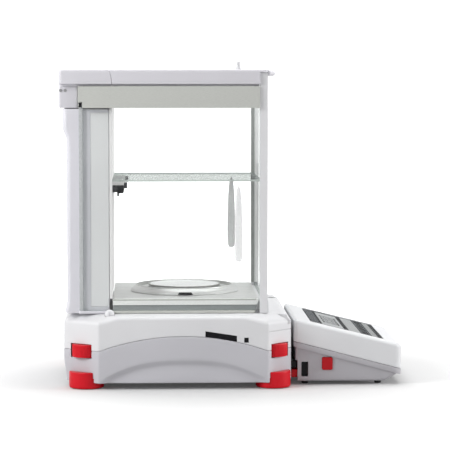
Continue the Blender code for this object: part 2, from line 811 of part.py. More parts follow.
def weighing_cell(frame_material, magnet_material, beam_material, board_material):
    rear, front = CELL_X
    floor = BASE_FLOOR_Z + GAP
    frame = [(rear, floor), (front, floor), (front, CELL_BASE_Z), (CELL_TOWER_X, CELL_BASE_Z),
             (CELL_TOWER_X, CELL_TOWER_Z), (rear, CELL_TOWER_Z)]
    piece("load_cell_frame", prism(frame, -CELL_HALF_WIDTH, CELL_HALF_WIDTH, "Y"), frame_material)
    piece("cell_magnet", cylinder((0.0, 0.0), MAGNET_RADIUS, CELL_BASE_Z + GAP, MAGNET_TOP_Z),
          magnet_material, smooth=True)
    beam = piece("cell_beam", box((CELL_TOWER_X + GAP, BEAM_FRONT_X),
                                  (-BEAM_HALF_WIDTH, BEAM_HALF_WIDTH), BEAM_Z), beam_material)
    join(beam, cylinder((0.0, 0.0), COIL_RADIUS, *COIL_Z))
    stem = piece("pan_stem", cylinder((PAN_X, 0.0), STEM_RADIUS, STEM_LOW_Z, STEM_TOP_Z, steps=24),
                 beam_material, smooth=True)
    join(stem, box((PAN_X - STEM_BLOCK_X, PAN_X + STEM_BLOCK_X), (-STEM_BLOCK_Y, STEM_BLOCK_Y),
                   (BEAM_Z[1] + GAP, STEM_BLOCK_TOP_Z)))
    board = piece("main_board", box(BOARD_X, (-BOARD_HALF_WIDTH, BOARD_HALF_WIDTH), BOARD_Z),
                  board_material)
    for x in PILLAR_X:
        for y in (-PILLAR_Y, PILLAR_Y):
            join(board, cylinder((x, y), PILLAR_RADIUS, floor, BOARD_Z[0] + 0.001, steps=16))


def calibration_drive(weight_material, cam_material, motor_material):
    x, z = CALIBRATION_X, CAM_AXIS_Z
    weight = piece("calibration_weight",
                   cylinder((x, WEIGHT_AXIS_Z), WEIGHT_ROD_RADIUS, -WEIGHT_ROD_Y, WEIGHT_ROD_Y,
                            "Y", 24), weight_material)
    for _, sign in SIDES:
        span = sorted(sign * y for y in WEIGHT_Y)
        join(weight, cylinder((x, WEIGHT_AXIS_Z), WEIGHT_RADIUS, *span, "Y", 32))
    cam = piece("calibration_cam",
                cylinder((x, z + CAM_THROW), CAM_RADIUS, *CAM_Y, "Y", 36),
                cam_material, (x, sum(CAM_Y) / 2, z), True)
    cut(cam, cylinder((x, z), SHAFT_RADIUS + GAP, CAM_Y[0] - 0.001, CAM_Y[1] + 0.001, "Y", 24))
    motor = piece("calibration_motor", box((x - MOTOR_X, x + MOTOR_X), MOTOR_Y,
                                           (z - MOTOR_Z, z + MOTOR_Z)), motor_material)
    join(motor, cylinder((x, z), SHAFT_RADIUS, *SHAFT_Y, "Y", 24))


# ---------------------------------------------------------------- chamber

def chamber_floor(material):
    plate = piece("floor_plate",
                  box((PLATEAU_REAR_X, FLOOR_FRONT_X), (-PLATEAU_HALF_WIDTH, PLATEAU_HALF_WIDTH),
                      (PLATEAU_TOP_Z + GAP, FLOOR_TOP_Z)), material)
    cut(plate, cylinder((PAN_X, 0.0), 0.0085, 0.09, 0.11))


def bottom_rails(material):
    for side, sign in SIDES:
        inner, outer = RAIL_Y
        step = DOOR_LOW_Z - GAP
        section = [(inner, RAIL_LOW_Z), (outer, RAIL_LOW_Z), (outer, step), (RAIL_GROOVE_Y, step),
                   (RAIL_GROOVE_Y, RAIL_GROOVE_Z), (RAIL_LIP_Y, RAIL_GROOVE_Z),
                   (RAIL_LIP_Y, RAIL_TOP_Z), (inner, RAIL_TOP_Z)]
        outline = [(sign * y, z) for y, z in section]
        rail = piece(f"bottom_rail_{side}", prism(outline, PLATEAU_REAR_X, FLOOR_FRONT_X, "X"),
                     material)
        ahead, below = FLOOR_FRONT_X + 0.001, RAIL_LOW_Z - 0.001
        mitre = [(ahead, RAIL_MITRE_Z), (FLOOR_FRONT_X - RAIL_MITRE, below), (ahead, below)]
        cut(rail, prism(mitre, -ACROSS, ACROSS, "Y"))


def draft_ring(material):
    low = FLOOR_TOP_Z + GAP
    profile = [
        (RING_RADIUS, low),
        (RING_RADIUS, low + RING_LIP),
        (RING_RIM_RADIUS + 0.0008, RING_TOP_Z - 0.0003),
        (RING_RIM_RADIUS - 0.0010, RING_TOP_Z),
        (RING_WELL_RADIUS, RING_WELL_TOP_Z),
        (RING_HOLE_RADIUS, RING_HOLE_Z[1]),
        (RING_HOLE_RADIUS, RING_HOLE_Z[0]),
        (RING_WELL_RADIUS, RING_WELL_LOW_Z),
        (RING_NECK_RADIUS, RING_NECK_Z),
        (RING_RADIUS - RING_WALL, low),
    ]
    ring = piece("draft_ring", turned(profile, (PAN_X, 0.0), 64), material,
                 (PAN_X, 0.0, low), True)
    wide, narrow = NOTCH_HALF_WIDTH
    foot, crest = low - 0.001, low + NOTCH_HEIGHT
    notch = prism([(PAN_X - wide, foot), (PAN_X + wide, foot), (PAN_X + narrow, crest),
                   (PAN_X - narrow, crest)], *NOTCH_Y, "Y")
    cut(ring, notch)


def weighing_pan(material):
    profile = [
        (0.0, PAN_DISH_Z),
        (PAN_RADIUS - PAN_RIM, PAN_DISH_Z),
        (PAN_RADIUS - PAN_RIM_CREST, PAN_TOP_Z),
        (PAN_RADIUS, PAN_TOP_Z - 0.0002),
        (PAN_RADIUS, PAN_LOW_Z),
        (PAN_BELLY_RADIUS, PAN_BELLY_Z),
        (PAN_HUB_RADIUS, PAN_HUB_TOP_Z),
        (PAN_HUB_RADIUS, FLOOR_TOP_Z + PAN_HUB_LOW),
        (STEM_RADIUS + GAP, FLOOR_TOP_Z + PAN_HUB_LOW),
        (STEM_RADIUS + GAP, STEM_TOP_Z + GAP),
        (0.0, STEM_TOP_Z + GAP),
    ]
    piece("weighing_pan", turned(profile, (PAN_X, 0.0), 64), material,
          (PAN_X, 0.0, STEM_TOP_Z), True)


def rear_wall(material):
    low, high, step = FLOOR_TOP_Z + GAP, HEADER_HIGH_Z, HEADER_LOW_Z - GAP
    wide, narrow = COLUMN_HALF_WIDTH, HEADER_INNER_Y - GAP
    outline = [(-wide, low), (wide, low), (wide, step), (narrow, step), (narrow, high),
               (-narrow, high), (-narrow, step), (-wide, step)]
    front = REAR_WALL_X + REAR_WALL_THICKNESS
    wall = piece("rear_wall", prism(outline, REAR_WALL_X, front, "X"), material)
    join(wall, box((front - 0.001, LEDGE_FRONT_X), (-LEDGE_HALF_WIDTH, LEDGE_HALF_WIDTH),
                   (LEDGE_LOW_Z, SHELF_LOW_Z - GAP)))


def ioniser_bar(material):
    """Dark discharge bar on the rear wall, under the ledge that carries the shelf."""
    back = REAR_WALL_X + REAR_WALL_THICKNESS + GAP
    half = LEDGE_HALF_WIDTH
    bar = piece("ioniser_bar", box((back, IONISER_STEP_X), (-half, half), IONISER_Z), material)
    join(bar, box((IONISER_LEG_X[0], IONISER_FRONT_X), (-half, half),
                  (IONISER_LIP_Z, LEDGE_LOW_Z - GAP)))
    hook = (half - 0.012, half - 0.001)
    for _, sign in SIDES:
        join(bar, mirrored_box(IONISER_LEG_X, (half - 0.004, half - 0.001), IONISER_LEG_Z, sign),
             mirrored_box(IONISER_HOOK_X, hook, IONISER_HOOK_Z, sign),
             mirrored_box((LEDGE_FRONT_X + GAP, IONISER_TIP_X), hook,
                          (IONISER_HOOK_Z[0], IONISER_TIP_Z), sign))


def shelf(material):
    piece("shelf", box((REAR_WALL_X + REAR_WALL_THICKNESS + GAP, SHELF_FRONT_X),
                       (-SHELF_HALF_WIDTH, SHELF_HALF_WIDTH),
                       (SHELF_LOW_Z, SHELF_LOW_Z + SHELF_THICKNESS)), material)


# ---------------------------------------------------------------- draught shield

def rear_column(material):
    profile = [
        (COLUMN_FRONT_X, RAIL_LOW_Z),
        (COLUMN_FRONT_X, COLUMN_TOP_Z),
        (COLUMN_HEAD_X, COLUMN_TOP_Z),
        (COLUMN_HEAD_X, COLUMN_HEAD_LOW_Z),
        (COLUMN_HEAD_X + 0.0008, COLUMN_NECK_HIGH_Z),
        (COLUMN_REAR_X - 0.0008, COLUMN_NECK_LOW_Z),
        (COLUMN_REAR_X, COLUMN_WAIST_HIGH_Z),
        (COLUMN_REAR_X, COLUMN_WAIST_LOW_Z),
        (COLUMN_REAR_X - 0.0007, COLUMN_FLARE_Z),
        (BASE_REAR_X + COLUMN_FLARE, RAIL_LOW_Z),
    ]
    column = piece("rear_column", prism(profile, -COLUMN_HALF_WIDTH, COLUMN_HALF_WIDTH, "Y"),
                   material)
    join(column, box((FLANGE_REAR_X, FLANGE_FRONT_X), (-FLANGE_HALF_WIDTH, FLANGE_HALF_WIDTH),
                     (RAIL_LOW_Z, DOOR_LOW_Z - GAP)))
    cut(column, box((COLUMN_REAR_X + BASE_WALL, COLUMN_FRONT_X + 0.01),
                    (-COLUMN_HALF_WIDTH + COLUMN_WALL, COLUMN_HALF_WIDTH - COLUMN_WALL),
                    (COLUMN_CAVITY_LOW_Z, COLUMN_TOP_Z - BASE_WALL)))
    cut(column, box((COLUMN_REAR_X + 0.012, COLUMN_FRONT_X - 0.008),
                    (-CABLE_DUCT_HALF_WIDTH, CABLE_DUCT_HALF_WIDTH), CABLE_DUCT_Z))


def cover_seam(offset):
    """Curved seam across the cover, bottom to top, moved forwards by offset."""
    steps = 6
    points = []
    for i in range(steps + 1):
        t = i / steps
        x = COVER_SEAM_LOW_X + (COVER_SEAM_HIGH_X - COVER_SEAM_LOW_X) * t ** 2
        points.append((x + offset, COVER_LOW_Z + (COVER_HIGH_Z - COVER_LOW_Z) * t))
    return points


def top_door_slot():
    """Slot that the top door slides in."""
    half = TOP_DOOR_HALF_WIDTH + 2 * GAP
    low = TOP_DOOR_LOW_Z - 2 * GAP
    return box((-0.20, TOP_OPENING_FRONT_X + 0.002), (-half, half), (low, low + GLASS + 4 * GAP))


def top_rear_cap(material):
    profile = cover_seam(0.0) + [
        (COVER_REAR_X + 0.002, COVER_HIGH_Z),
        (COVER_REAR_X, COVER_HIGH_Z - 0.002),
        (COVER_REAR_X, COVER_LOW_Z),
    ]
    cap = piece("top_rear_cap", prism(profile, -SHIELD_HALF_WIDTH, SHIELD_HALF_WIDTH, "Y"),
                material)
    join(cap, box((COVER_REAR_X, HEADER_REAR_X - GAP), (-COLUMN_HALF_WIDTH, COLUMN_HALF_WIDTH),
                  (COLUMN_TOP_Z + GAP, COVER_LOW_Z + 0.002)))
    for _, sign in SIDES:
        join(cap, mirrored_box((COVER_REAR_X + COVER_RAIL_INSET, COVER_SEAM_LOW_X - GAP), COVER_RAIL_Y,
                               (HEADER_HIGH_Z + GAP, COVER_LOW_Z + 0.002), sign))
    cut(cap, top_door_slot())


def top_frame(material):
    rear = cover_seam(GAP)
    profile = list(reversed(rear)) + [(POST_FRONT_X, COVER_LOW_Z), (POST_FRONT_X, COVER_HIGH_Z)]
    frame = piece("top_frame", prism(profile, -SHIELD_HALF_WIDTH, SHIELD_HALF_WIDTH, "Y"),
                  material)
    bow = [(COVER_RAIL_FRONT_X, -POST_OUTER_Y)]
    steps = 20
    for i in range(steps + 1):
        y = -POST_OUTER_Y + 2 * POST_OUTER_Y * i / steps
        bow.append((LIP_NOSE_X - (LIP_NOSE_X - LIP_CORNER_X) * (y / POST_OUTER_Y) ** 2, y))
    bow.append((COVER_RAIL_FRONT_X, POST_OUTER_Y))
    join(frame, prism(bow, LIP_LOW_Z, COVER_HIGH_Z - 0.0004))
    for _, sign in SIDES:
        join(frame, mirrored_box((PLATEAU_REAR_X, COVER_RAIL_FRONT_X), COVER_RAIL_Y,
                                 (HEADER_HIGH_Z + GAP, COVER_LOW_Z + 0.002), sign))
    cut(frame, box((TOP_OPENING_REAR_X, TOP_OPENING_FRONT_X),
                   (-TOP_OPENING_HALF_WIDTH, TOP_OPENING_HALF_WIDTH), COVER_CUT_Z))
    cut(frame, top_door_slot())
    for _, sign in SIDES:
        cut(frame, mirrored_box((POST_REAR_X - GAP, POST_FRONT_X + GAP),
                                (POST_INNER_Y - GAP, POST_OUTER_Y + 0.01),
                                (COVER_CUT_Z[0], POST_TOP_Z + GAP), sign))


def headers(material):
    for side, sign in SIDES:
        header = piece(f"header_{side}",
                       mirrored_box((HEADER_REAR_X, POST_REAR_X - GAP),
                                    (HEADER_INNER_Y, SHIELD_HALF_WIDTH),
                                    (HEADER_LOW_Z, HEADER_HIGH_Z), sign), material)
        behind, below = HEADER_REAR_X - 0.01, HEADER_LOW_Z - 0.01
        cut(header, mirrored_box((behind, POST_FRONT_X),
                                 (DOOR_INNER_Y - GAP, DOOR_INNER_Y + GLASS + GAP),
                                 (below, DOOR_HIGH_Z + 2 * GAP), sign))
        cut(header, mirrored_box((behind, RUNNER_NOTCH_X), (DOOR_INNER_Y + 0.002, ACROSS),
                                 (below, RUNNER_NOTCH_Z), sign))


def posts(material):
    for side, sign in SIDES:
        post = piece(f"post_{side}",
                     mirrored_box((POST_REAR_X, POST_FRONT_X), (POST_INNER_Y, POST_OUTER_Y),
                                  (RAIL_LOW_Z, POST_TOP_Z), sign), material)
        join(post, mirrored_box(SHELF_REST_X, (SHELF_REST_Y, POST_INNER_Y + 0.001),
                                (SHELF_REST_Z, SHELF_LOW_Z - GAP), sign))


def front_glass(material):
    piece("front_glass", box(FRONT_GLASS_X, (-FRONT_GLASS_HALF_WIDTH, FRONT_GLASS_HALF_WIDTH),
                             (FRONT_GLASS_LOW_Z, COVER_LOW_Z - GAP)), material)


def side_doors(glass_material, handle_material, runner_material):
    for side, sign in SIDES:
        outer = DOOR_INNER_Y + GLASS
        piece(f"{side}_door_glass",
              mirrored_box((DOOR_REAR_X, DOOR_FRONT_X), (DOOR_INNER_Y, outer),
                           (DOOR_LOW_Z, DOOR_HIGH_Z), sign), glass_material)
        span = sorted((sign * (outer + GAP), sign * (outer + HANDLE_THICKNESS)))
        piece(f"{side}_door_handle", prism(teardrop(), *span, "Y"), handle_material,
              smooth=True)
        piece(f"{side}_door_runner",
              mirrored_box(RUNNER_X, (outer + GAP, outer + RUNNER_THICKNESS), RUNNER_Z, sign),
              runner_material)


def teardrop():
    """Outline of a door handle: a leaf, widest low down, with a blunt top."""
    low, high = HANDLE_Z
    steps = 12
    right = []
    for i in range(steps + 1):
        angle = -pi / 2 + (pi / 2) * i / steps
        right.append((HANDLE_HALF_WIDTH * max(0.0, cos(angle)) ** 0.7,
                      HANDLE_WIDEST_Z + (HANDLE_WIDEST_Z - low) * sin(angle)))
    for i in range(1, steps):
        t = i / steps
        right.append((HANDLE_HALF_WIDTH * (1 - t * t) ** HANDLE_BLUNTNESS,
                      HANDLE_WIDEST_Z + (high - HANDLE_WIDEST_Z) * t))
    outline = [(HANDLE_X + x, z) for x, z in right]
    outline += [(HANDLE_X, high)]
    outline += [(HANDLE_X - x, z) for x, z in reversed(right[1:])]
    return outline


def top_door(glass_material, knob_material):
    high = TOP_DOOR_LOW_Z + GLASS
    piece("top_door", box((-0.1310, TOP_OPENING_FRONT_X + 0.0005),
                          (-TOP_DOOR_HALF_WIDTH, TOP_DOOR_HALF_WIDTH),
                          (TOP_DOOR_LOW_Z, high)), glass_material)
    profile = [
        (0.0, high + GAP),
        (0.0050, high + GAP),
        (0.0050, high + 0.0015),
        (0.0036, high + 0.0040),
        (0.0020, KNOB_TOP_Z - 0.0008),
        (0.0014, KNOB_TOP_Z),
        (0.0, KNOB_TOP_Z),
    ]
    piece("top_door_knob", turned(profile, (KNOB_X, 0.0), 32), knob_material,
          (KNOB_X, 0.0, high), True)


# ---------------------------------------------------------------- terminal

def terminal_lower(material):
    band = TERMINAL_BAND
    rear, front = TERMINAL_REAR_X + GAP, TERMINAL_FRONT_X - GAP
    flange = [
        (rear, terminal_seam(rear, -band)),
        (front, terminal_seam(front, -band + 0.003)),
        (front, terminal_seam(front)),
        (rear, terminal_seam(rear)),
    ]
    shell = piece("terminal_lower", prism(flange, -TERMINAL_HALF_WIDTH, TERMINAL_HALF_WIDTH, "Y"),
                  material)
    shell_rear = TERMINAL_SHELL_REAR_X
    heel_x, toe_x = TERMINAL_SOLE_X
    body = [
        (shell_rear, terminal_seam(shell_rear, -0.002)),
        (shell_rear, DOCK_STEP_Z),
        (DOCK_STEP_X, DOCK_STEP_Z),
        (DOCK_STEP_X, TERMINAL_HEEL_Z),
        (heel_x, TERMINAL_BOTTOM_Z),
        (toe_x, TERMINAL_BOTTOM_Z),
        *TERMINAL_TOE,
        (TERMINAL_TOE_X, terminal_seam(TERMINAL_TOE_X, -0.002)),
    ]
    join(shell, prism(body, -TERMINAL_BODY_HALF_WIDTH, TERMINAL_BODY_HALF_WIDTH, "Y"))
    wall = TERMINAL_WALL
    cavity = [
        (0.0745, terminal_seam(0.0745, 0.01)),
        (0.0745, DOCK_STEP_Z + wall),
        (DOCK_STEP_X + wall, DOCK_STEP_Z + wall),
        (DOCK_STEP_X + wall, TERMINAL_BOTTOM_Z + wall),
        (0.1705, TERMINAL_BOTTOM_Z + wall),
        (0.1800, 0.0112),
        (0.1830, 0.0150),
        (0.1860, terminal_seam(0.1860, 0.01)),
    ]
    inner = TERMINAL_BODY_HALF_WIDTH - wall
    cut(shell, prism(cavity, -inner, inner, "Y"))
    for _, sign in SIDES:
        join(shell, mirrored_box((CHEEK_REAR_X, DOCK_STEP_X + 0.001),
                                 (DOCK_BAR_HALF_WIDTH + GAP, TERMINAL_BODY_HALF_WIDTH),
                                 (CHEEK_LOW_Z, DOCK_STEP_Z + 0.001), sign))
        cut(shell, mirrored_box(wider(BUTTON_X), (BUTTON_Y[0] + 0.001, ACROSS), wider(BUTTON_Z),
                                sign))
        cut(shell, mirrored_box(SLOT_X, (SLOT_INNER_Y, ACROSS), SLOT_Z, sign))


def terminal_upper(material):
    rear, front, wall = TERMINAL_REAR_X, TERMINAL_FRONT_X, TERMINAL_WALL
    outline = [
        (rear, terminal_seam(rear, GAP)),
        (front, terminal_seam(front, GAP)),
        (front, TERMINAL_NOSE[1]),
        TERMINAL_NOSE[0],
        (TERMINAL_TOP_X[1], terminal_top(TERMINAL_TOP_X[1])),
        (TERMINAL_TOP_X[0], terminal_top(TERMINAL_TOP_X[0])),
        TERMINAL_SHOULDER,
        (rear, TERMINAL_BACK_Z),
    ]
    cover = piece("terminal_upper", prism(outline, -TERMINAL_HALF_WIDTH, TERMINAL_HALF_WIDTH, "Y"),
                  material)
    top = -0.0042
    cavity = [
        (rear + wall, 0.030),
        (front - wall, 0.010),
        (front - wall, 0.0370),
        (0.1850, terminal_top(0.1850, top)),
        (0.0750, terminal_top(0.0750, top)),
        (rear + wall, 0.0670),
    ]
    inner = TERMINAL_HALF_WIDTH - wall
    cut(cover, prism(cavity, -inner, inner, "Y"))
    cut(cover, sloped_slab(SCREEN_REAR_X - GAP, SCREEN_FRONT_X + GAP, 0.01,
                           -SCREEN_THICKNESS - GAP, SCREEN_HALF_WIDTH + GAP))
    cut(cover, sloped_slab(DISPLAY_X[0] - 0.0005, DISPLAY_X[1] + 0.0005, 0.001, -0.010,
                           DISPLAY_HALF_WIDTH + 0.0005))


def terminal_insides(glass_material, lcd_material, board_material):
    piece("touch_glass", sloped_slab(SCREEN_REAR_X, SCREEN_FRONT_X, 0.0,
                                     -SCREEN_THICKNESS, SCREEN_HALF_WIDTH), glass_material)
    piece("lcd_module", sloped_slab(*DISPLAY_X, -0.0026, -0.0090, DISPLAY_HALF_WIDTH),
          lcd_material)
    piece("terminal_board", sloped_slab(*TERMINAL_BOARD_X, -0.0120, -0.0136,
                                        TERMINAL_BOARD_HALF_WIDTH), board_material)


def release_buttons(material):
    x, z = BUTTON_X, BUTTON_Z
    for side, sign in SIDES:
        pivot = (sum(x) / 2, sign * BUTTON_Y[1], sum(z) / 2)
        button = piece(f"release_button_{side}", mirrored_box(x, BUTTON_Y, z, sign),
                       material, pivot)
        join(button, mirrored_box((x[0] - BUTTON_RIM, x[1] + BUTTON_RIM), BUTTON_RIM_Y,
                                  (z[0] - BUTTON_RIM, z[1] + BUTTON_RIM), sign))


def terminal_feet(material):
    for end, x in TERMINAL_FOOT_X:
        for side, sign in SIDES:
            piece(f"terminal_foot_{end}_{side}",
                  cylinder((x, sign * TERMINAL_FOOT_Y), TERMINAL_FOOT_RADIUS, 0.0,
                           TERMINAL_BOTTOM_Z - GAP, steps=24),
                  material, smooth=True)


def level_vial(material):
    piece("level_vial", cylinder((VIAL_X, 0.0), VIAL_RADIUS, VIAL_LOW_Z, VIAL_TOP_Z), material,
          smooth=True)


def build():
    clear_scene()
    white = look("white_housing", WHITE)
    grey = look("grey_housing", PALE_GREY)
    cover = look("cover_grey", (0.74, 0.73, 0.77))
    green = look("rail_grey", GREEN_GREY, 0.4)
    red = look("red_plastic", RED, 0.35)
    black = look("black_plastic", BLACK, 0.4)
    steel = look("stainless_steel", STEEL, 0.25, 1.0)
    alloy = look("alloy", (0.70, 0.70, 0.72), 0.4, 1.0)
    glass = look("clear_glass", CLEAR, 0.05, 0.0, 0.9)
    milky = look("milky_plastic", MILKY, 0.3)
    screen = look("screen_glass", (0.16, 0.17, 0.18), 0.08)
    board = look("circuit_board", (0.02, 0.22, 0.10), 0.5)
    rubber = look("rubber", (0.10, 0.10, 0.10), 0.8)

    lower_housing(grey)
    upper_housing(white)
    side_port_block(black)
    rear_port_panel(grey)
    levelling_feet(red, red)
    dock(black, red)
    shield_latches(milky)
    level_vial(glass)
    weighing_cell(alloy, steel, alloy, board)
    calibration_drive(steel, milky, black)
    chamber_floor(steel)
    bottom_rails(green)
    draft_ring(steel)
    weighing_pan(steel)
    rear_wall(milky)
    ioniser_bar(black)
    shelf(glass)
    rear_column(grey)
    top_rear_cap(cover)
    top_frame(cover)
    headers(green)
    posts(white)
    front_glass(glass)
    side_doors(glass, milky, black)
    top_door(glass, milky)
    terminal_lower(grey)
    terminal_upper(white)
    terminal_insides(screen, screen, board)
    release_buttons(red)
    terminal_feet(rubber)


build()
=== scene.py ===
import json
from math import atan2, cos, hypot, pi, radians, sin, sqrt, tan

import bmesh
import bpy
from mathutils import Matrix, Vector

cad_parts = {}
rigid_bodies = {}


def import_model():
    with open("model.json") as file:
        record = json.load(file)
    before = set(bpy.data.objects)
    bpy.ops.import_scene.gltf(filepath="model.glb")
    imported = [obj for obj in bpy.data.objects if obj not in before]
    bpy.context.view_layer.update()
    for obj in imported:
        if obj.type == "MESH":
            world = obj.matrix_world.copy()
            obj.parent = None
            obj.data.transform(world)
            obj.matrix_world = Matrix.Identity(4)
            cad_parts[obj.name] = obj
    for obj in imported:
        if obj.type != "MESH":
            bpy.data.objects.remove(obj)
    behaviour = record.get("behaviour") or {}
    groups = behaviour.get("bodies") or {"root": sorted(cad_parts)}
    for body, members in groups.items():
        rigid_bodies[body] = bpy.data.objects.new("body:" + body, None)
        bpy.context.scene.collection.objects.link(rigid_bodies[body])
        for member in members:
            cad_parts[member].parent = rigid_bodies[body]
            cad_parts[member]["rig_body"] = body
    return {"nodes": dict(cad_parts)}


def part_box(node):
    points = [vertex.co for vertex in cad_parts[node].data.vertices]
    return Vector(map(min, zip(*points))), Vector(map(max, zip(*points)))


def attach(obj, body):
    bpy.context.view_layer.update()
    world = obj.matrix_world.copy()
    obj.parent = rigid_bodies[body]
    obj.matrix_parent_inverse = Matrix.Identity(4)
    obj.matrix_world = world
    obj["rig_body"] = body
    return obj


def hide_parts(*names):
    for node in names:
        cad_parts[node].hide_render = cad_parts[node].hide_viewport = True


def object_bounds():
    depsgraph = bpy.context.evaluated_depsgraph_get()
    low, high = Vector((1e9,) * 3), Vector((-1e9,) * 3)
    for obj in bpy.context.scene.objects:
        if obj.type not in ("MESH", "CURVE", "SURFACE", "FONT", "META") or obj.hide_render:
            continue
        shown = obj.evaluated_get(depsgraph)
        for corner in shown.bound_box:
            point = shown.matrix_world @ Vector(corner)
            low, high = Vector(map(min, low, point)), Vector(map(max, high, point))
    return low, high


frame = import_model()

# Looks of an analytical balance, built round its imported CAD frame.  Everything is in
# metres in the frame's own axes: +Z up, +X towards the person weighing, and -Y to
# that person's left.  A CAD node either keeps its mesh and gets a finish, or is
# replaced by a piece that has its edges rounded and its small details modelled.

NODES = frame["nodes"]
CAD_LOW, CAD_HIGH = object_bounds()

# Studio: light on the balance, and soft boxes as (name, place, aim, size, watts)
AMBIENT = 0.36
MIRRORED = 0.90
BACKDROP = 1.5
NEAR_GLOW = 0.05
FAR_GLOW = 1.4
GLOW_START = 0.17
GLOW_END = 0.9
SOFTBOXES = (
    ("top", (0.0, 0.45, 1.95), (0.0, 0.0, 0.1), 1.7, 32.0),
    ("rear_left", (-1.2, -0.70, 0.80), (-0.10, 0.0, 0.20), 0.6, 15.0),
    ("front_left", (1.85, -0.32, 0.55), (0.05, 0.0, 0.08), 0.7, 21.0),
)

# Camera: a level telephoto view
CAMERA_PLACE = (-0.0973, -2.4330, 0.3460)
CAMERA_DIP = 4.03
CAMERA_TURN = -2.19
FOCAL_LENGTH = 169.0
SENSOR_WIDTH = 36.0

SIDES = (("left", -1), ("right", 1))
ENDS = ("rear", "front")
GAP = 0.0003

# Base housings: the frame gives their box, these give the cut-off corners and curves
BASE_LOW, BASE_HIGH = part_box("lower_housing")
BASE_HALF = BASE_HIGH.y
BASE_ROUND = 0.005
REAR_CORNER_RUN = 0.0390
FRONT_CORNER_RUN = 0.0275
CORNER_DROP = 0.0300
SIDE_REAR_X = BASE_LOW.x + REAR_CORNER_RUN
SIDE_FRONT_X = BASE_HIGH.x - FRONT_CORNER_RUN
SEAM_Z = 0.0425
SEAM_RISE = 0.0165
ARCH_START_X = -0.1470
ARCH_END_X = 0.0408
ARCH_FOOT_Z = 0.0105
ARCH_TOP_Z = 0.0336
ARCH_POWER = 2.6
ARCH_DEPTH = 0.004
ARCH_EDGE = 0.0070
ARCH_RETURN = 0.45
ARCH_RETURN_RUN = 0.016
ARCH_END_RUN = 0.010
CREASE_END_Z = 0.0745
CREASE_MID_Z = 0.0800
CREASE_REAR_X = -0.1250
CREASE_FRONT_X = 0.0100
DECK_Z = 0.0830
DECK_INSET = 0.012
PAN_X = sum(v.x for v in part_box("weighing_pan")) / 2

# Levelling wheels and feet, under the cut-off corners
FOOT_INSET = 0.0095
FOOT_RADIUS = 0.0195
FOOT_STEP_Z = 0.0118
PAD_RADIUS = 0.0154
PAD_DEPTH = 0.0006
WHEEL_RADIUS = 0.0160
WHEEL_RIM = 0.0142
SPINDLE_RADIUS = 0.0040

# Draught shield
COLUMN_HALF = 0.0949
COLUMN_FRONT_X = -0.1362
COVER_FOOT_Z = 0.3373
COVER_SEAM_X = -0.1329
COVER_SEAM_BOW = 0.0034
COVER_RAIL_TOP_Z = 0.3393
COVER_RAIL_NEAR_Y = 0.0886
COVER_RAIL_FAR_Y = 0.0980
POST_FACE_Y = 0.0902

# Terminal: a wedge whose top falls towards the front
TERMINAL_LOW, TERMINAL_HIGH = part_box("terminal_upper")
TERMINAL_SLOPE = 0.2476
TERMINAL_REF = (0.0897, 0.0703)
TERMINAL_SEAM_SLOPE = 0.263
TERMINAL_SEAM_REAR_Z = 0.0496
TERMINAL_BAND = 0.0062
BUTTON_FLANGE = 0.0020
SLOT_X = (0.0784, 0.0862)
SLOT_Z = (0.0094, 0.0262)
SLOT_FLOOR_Y = 0.077

# Screen: depths below the terminal's top
SCREEN_ROUND = 0.0025
SCREEN_FACE = -0.0006
SCREEN_LAYER = 0.0001


# ---------------------------------------------------------------- mesh helpers

def new_object(name, shape):
    """An object from a closed bmesh in frame coordinates."""
    bmesh.ops.recalc_face_normals(shape, faces=shape.faces)
    mesh = bpy.data.meshes.new(name)
    shape.to_mesh(mesh)
    shape.free()
    made = bpy.data.objects.new(name, mesh)
    bpy.context.scene.collection.objects.link(made)
    return made


def skin(rings):
    """Closed skin through rings of points, capped at both ends."""
    shape = bmesh.new()
    loops = [[shape.verts.new(p) for p in ring] for ring in rings]
    count = len(rings[0])
    shape.faces.new(reversed(loops[0]))
    shape.faces.new(loops[-1])
    for lower, upper in zip(loops, loops[1:]):
        for i in range(count):
            j = (i + 1) % count
            shape.faces.new((lower[i], lower[j], upper[j], upper[i]))
    shape.verts.ensure_lookup_table()
    return shape


def place(u, v, w, axis):
    """World point with w along the given axis."""
    return {"X": (w, u, v), "Y": (u, w, v), "Z": (u, v, w)}[axis]


def prism(outline, low, high, axis="Z"):
    """A 2D outline extruded from low to high along an axis."""
    return skin([[place(u, v, w, axis) for u, v in outline] for w in (low, high)])


def block(x, y, z):
    """A block from three (low, high) pairs."""
    return prism([(x[0], y[0]), (x[1], y[0]), (x[1], y[1]), (x[0], y[1])], *z)


def circle(centre, radius, steps):
    """Points round a circle in the plane of an outline."""
    angles = [2 * pi * i / steps for i in range(steps)]
    return [(centre[0] + radius * cos(a), centre[1] + radius * sin(a)) for a in angles]


def cylinder(centre, radius, low, high, axis="Z", steps=64):
    """A round bar along an axis."""
    return prism(circle(centre, radius, steps), low, high, axis)


def turned(profile, centre, steps, ripple=None):
    """A (radius, height) outline turned about a vertical axis, closed at radius 0."""
    shape = bmesh.new()
    columns = []
    for i in range(steps):
        angle = 2 * pi * i / steps
        column = []
        for index, (radius, height) in enumerate(profile):
            if radius == 0 and i > 0:
                column.append(columns[0][index])
                continue
            reach = radius + (ripple(angle, radius) if ripple else 0.0)
            x = centre[0] + reach * cos(angle)
            y = centre[1] + reach * sin(angle)
            column.append(shape.verts.new((x, y, height)))
        columns.append(column)
    for i in range(steps):
        this, following = columns[i], columns[(i + 1) % steps]
        for j in range(len(profile)):
            k = (j + 1) % len(profile)
            corners = dict.fromkeys((this[j], following[j], following[k], this[k]))
            if len(corners) > 2:
                shape.faces.new(tuple(corners))
    return shape


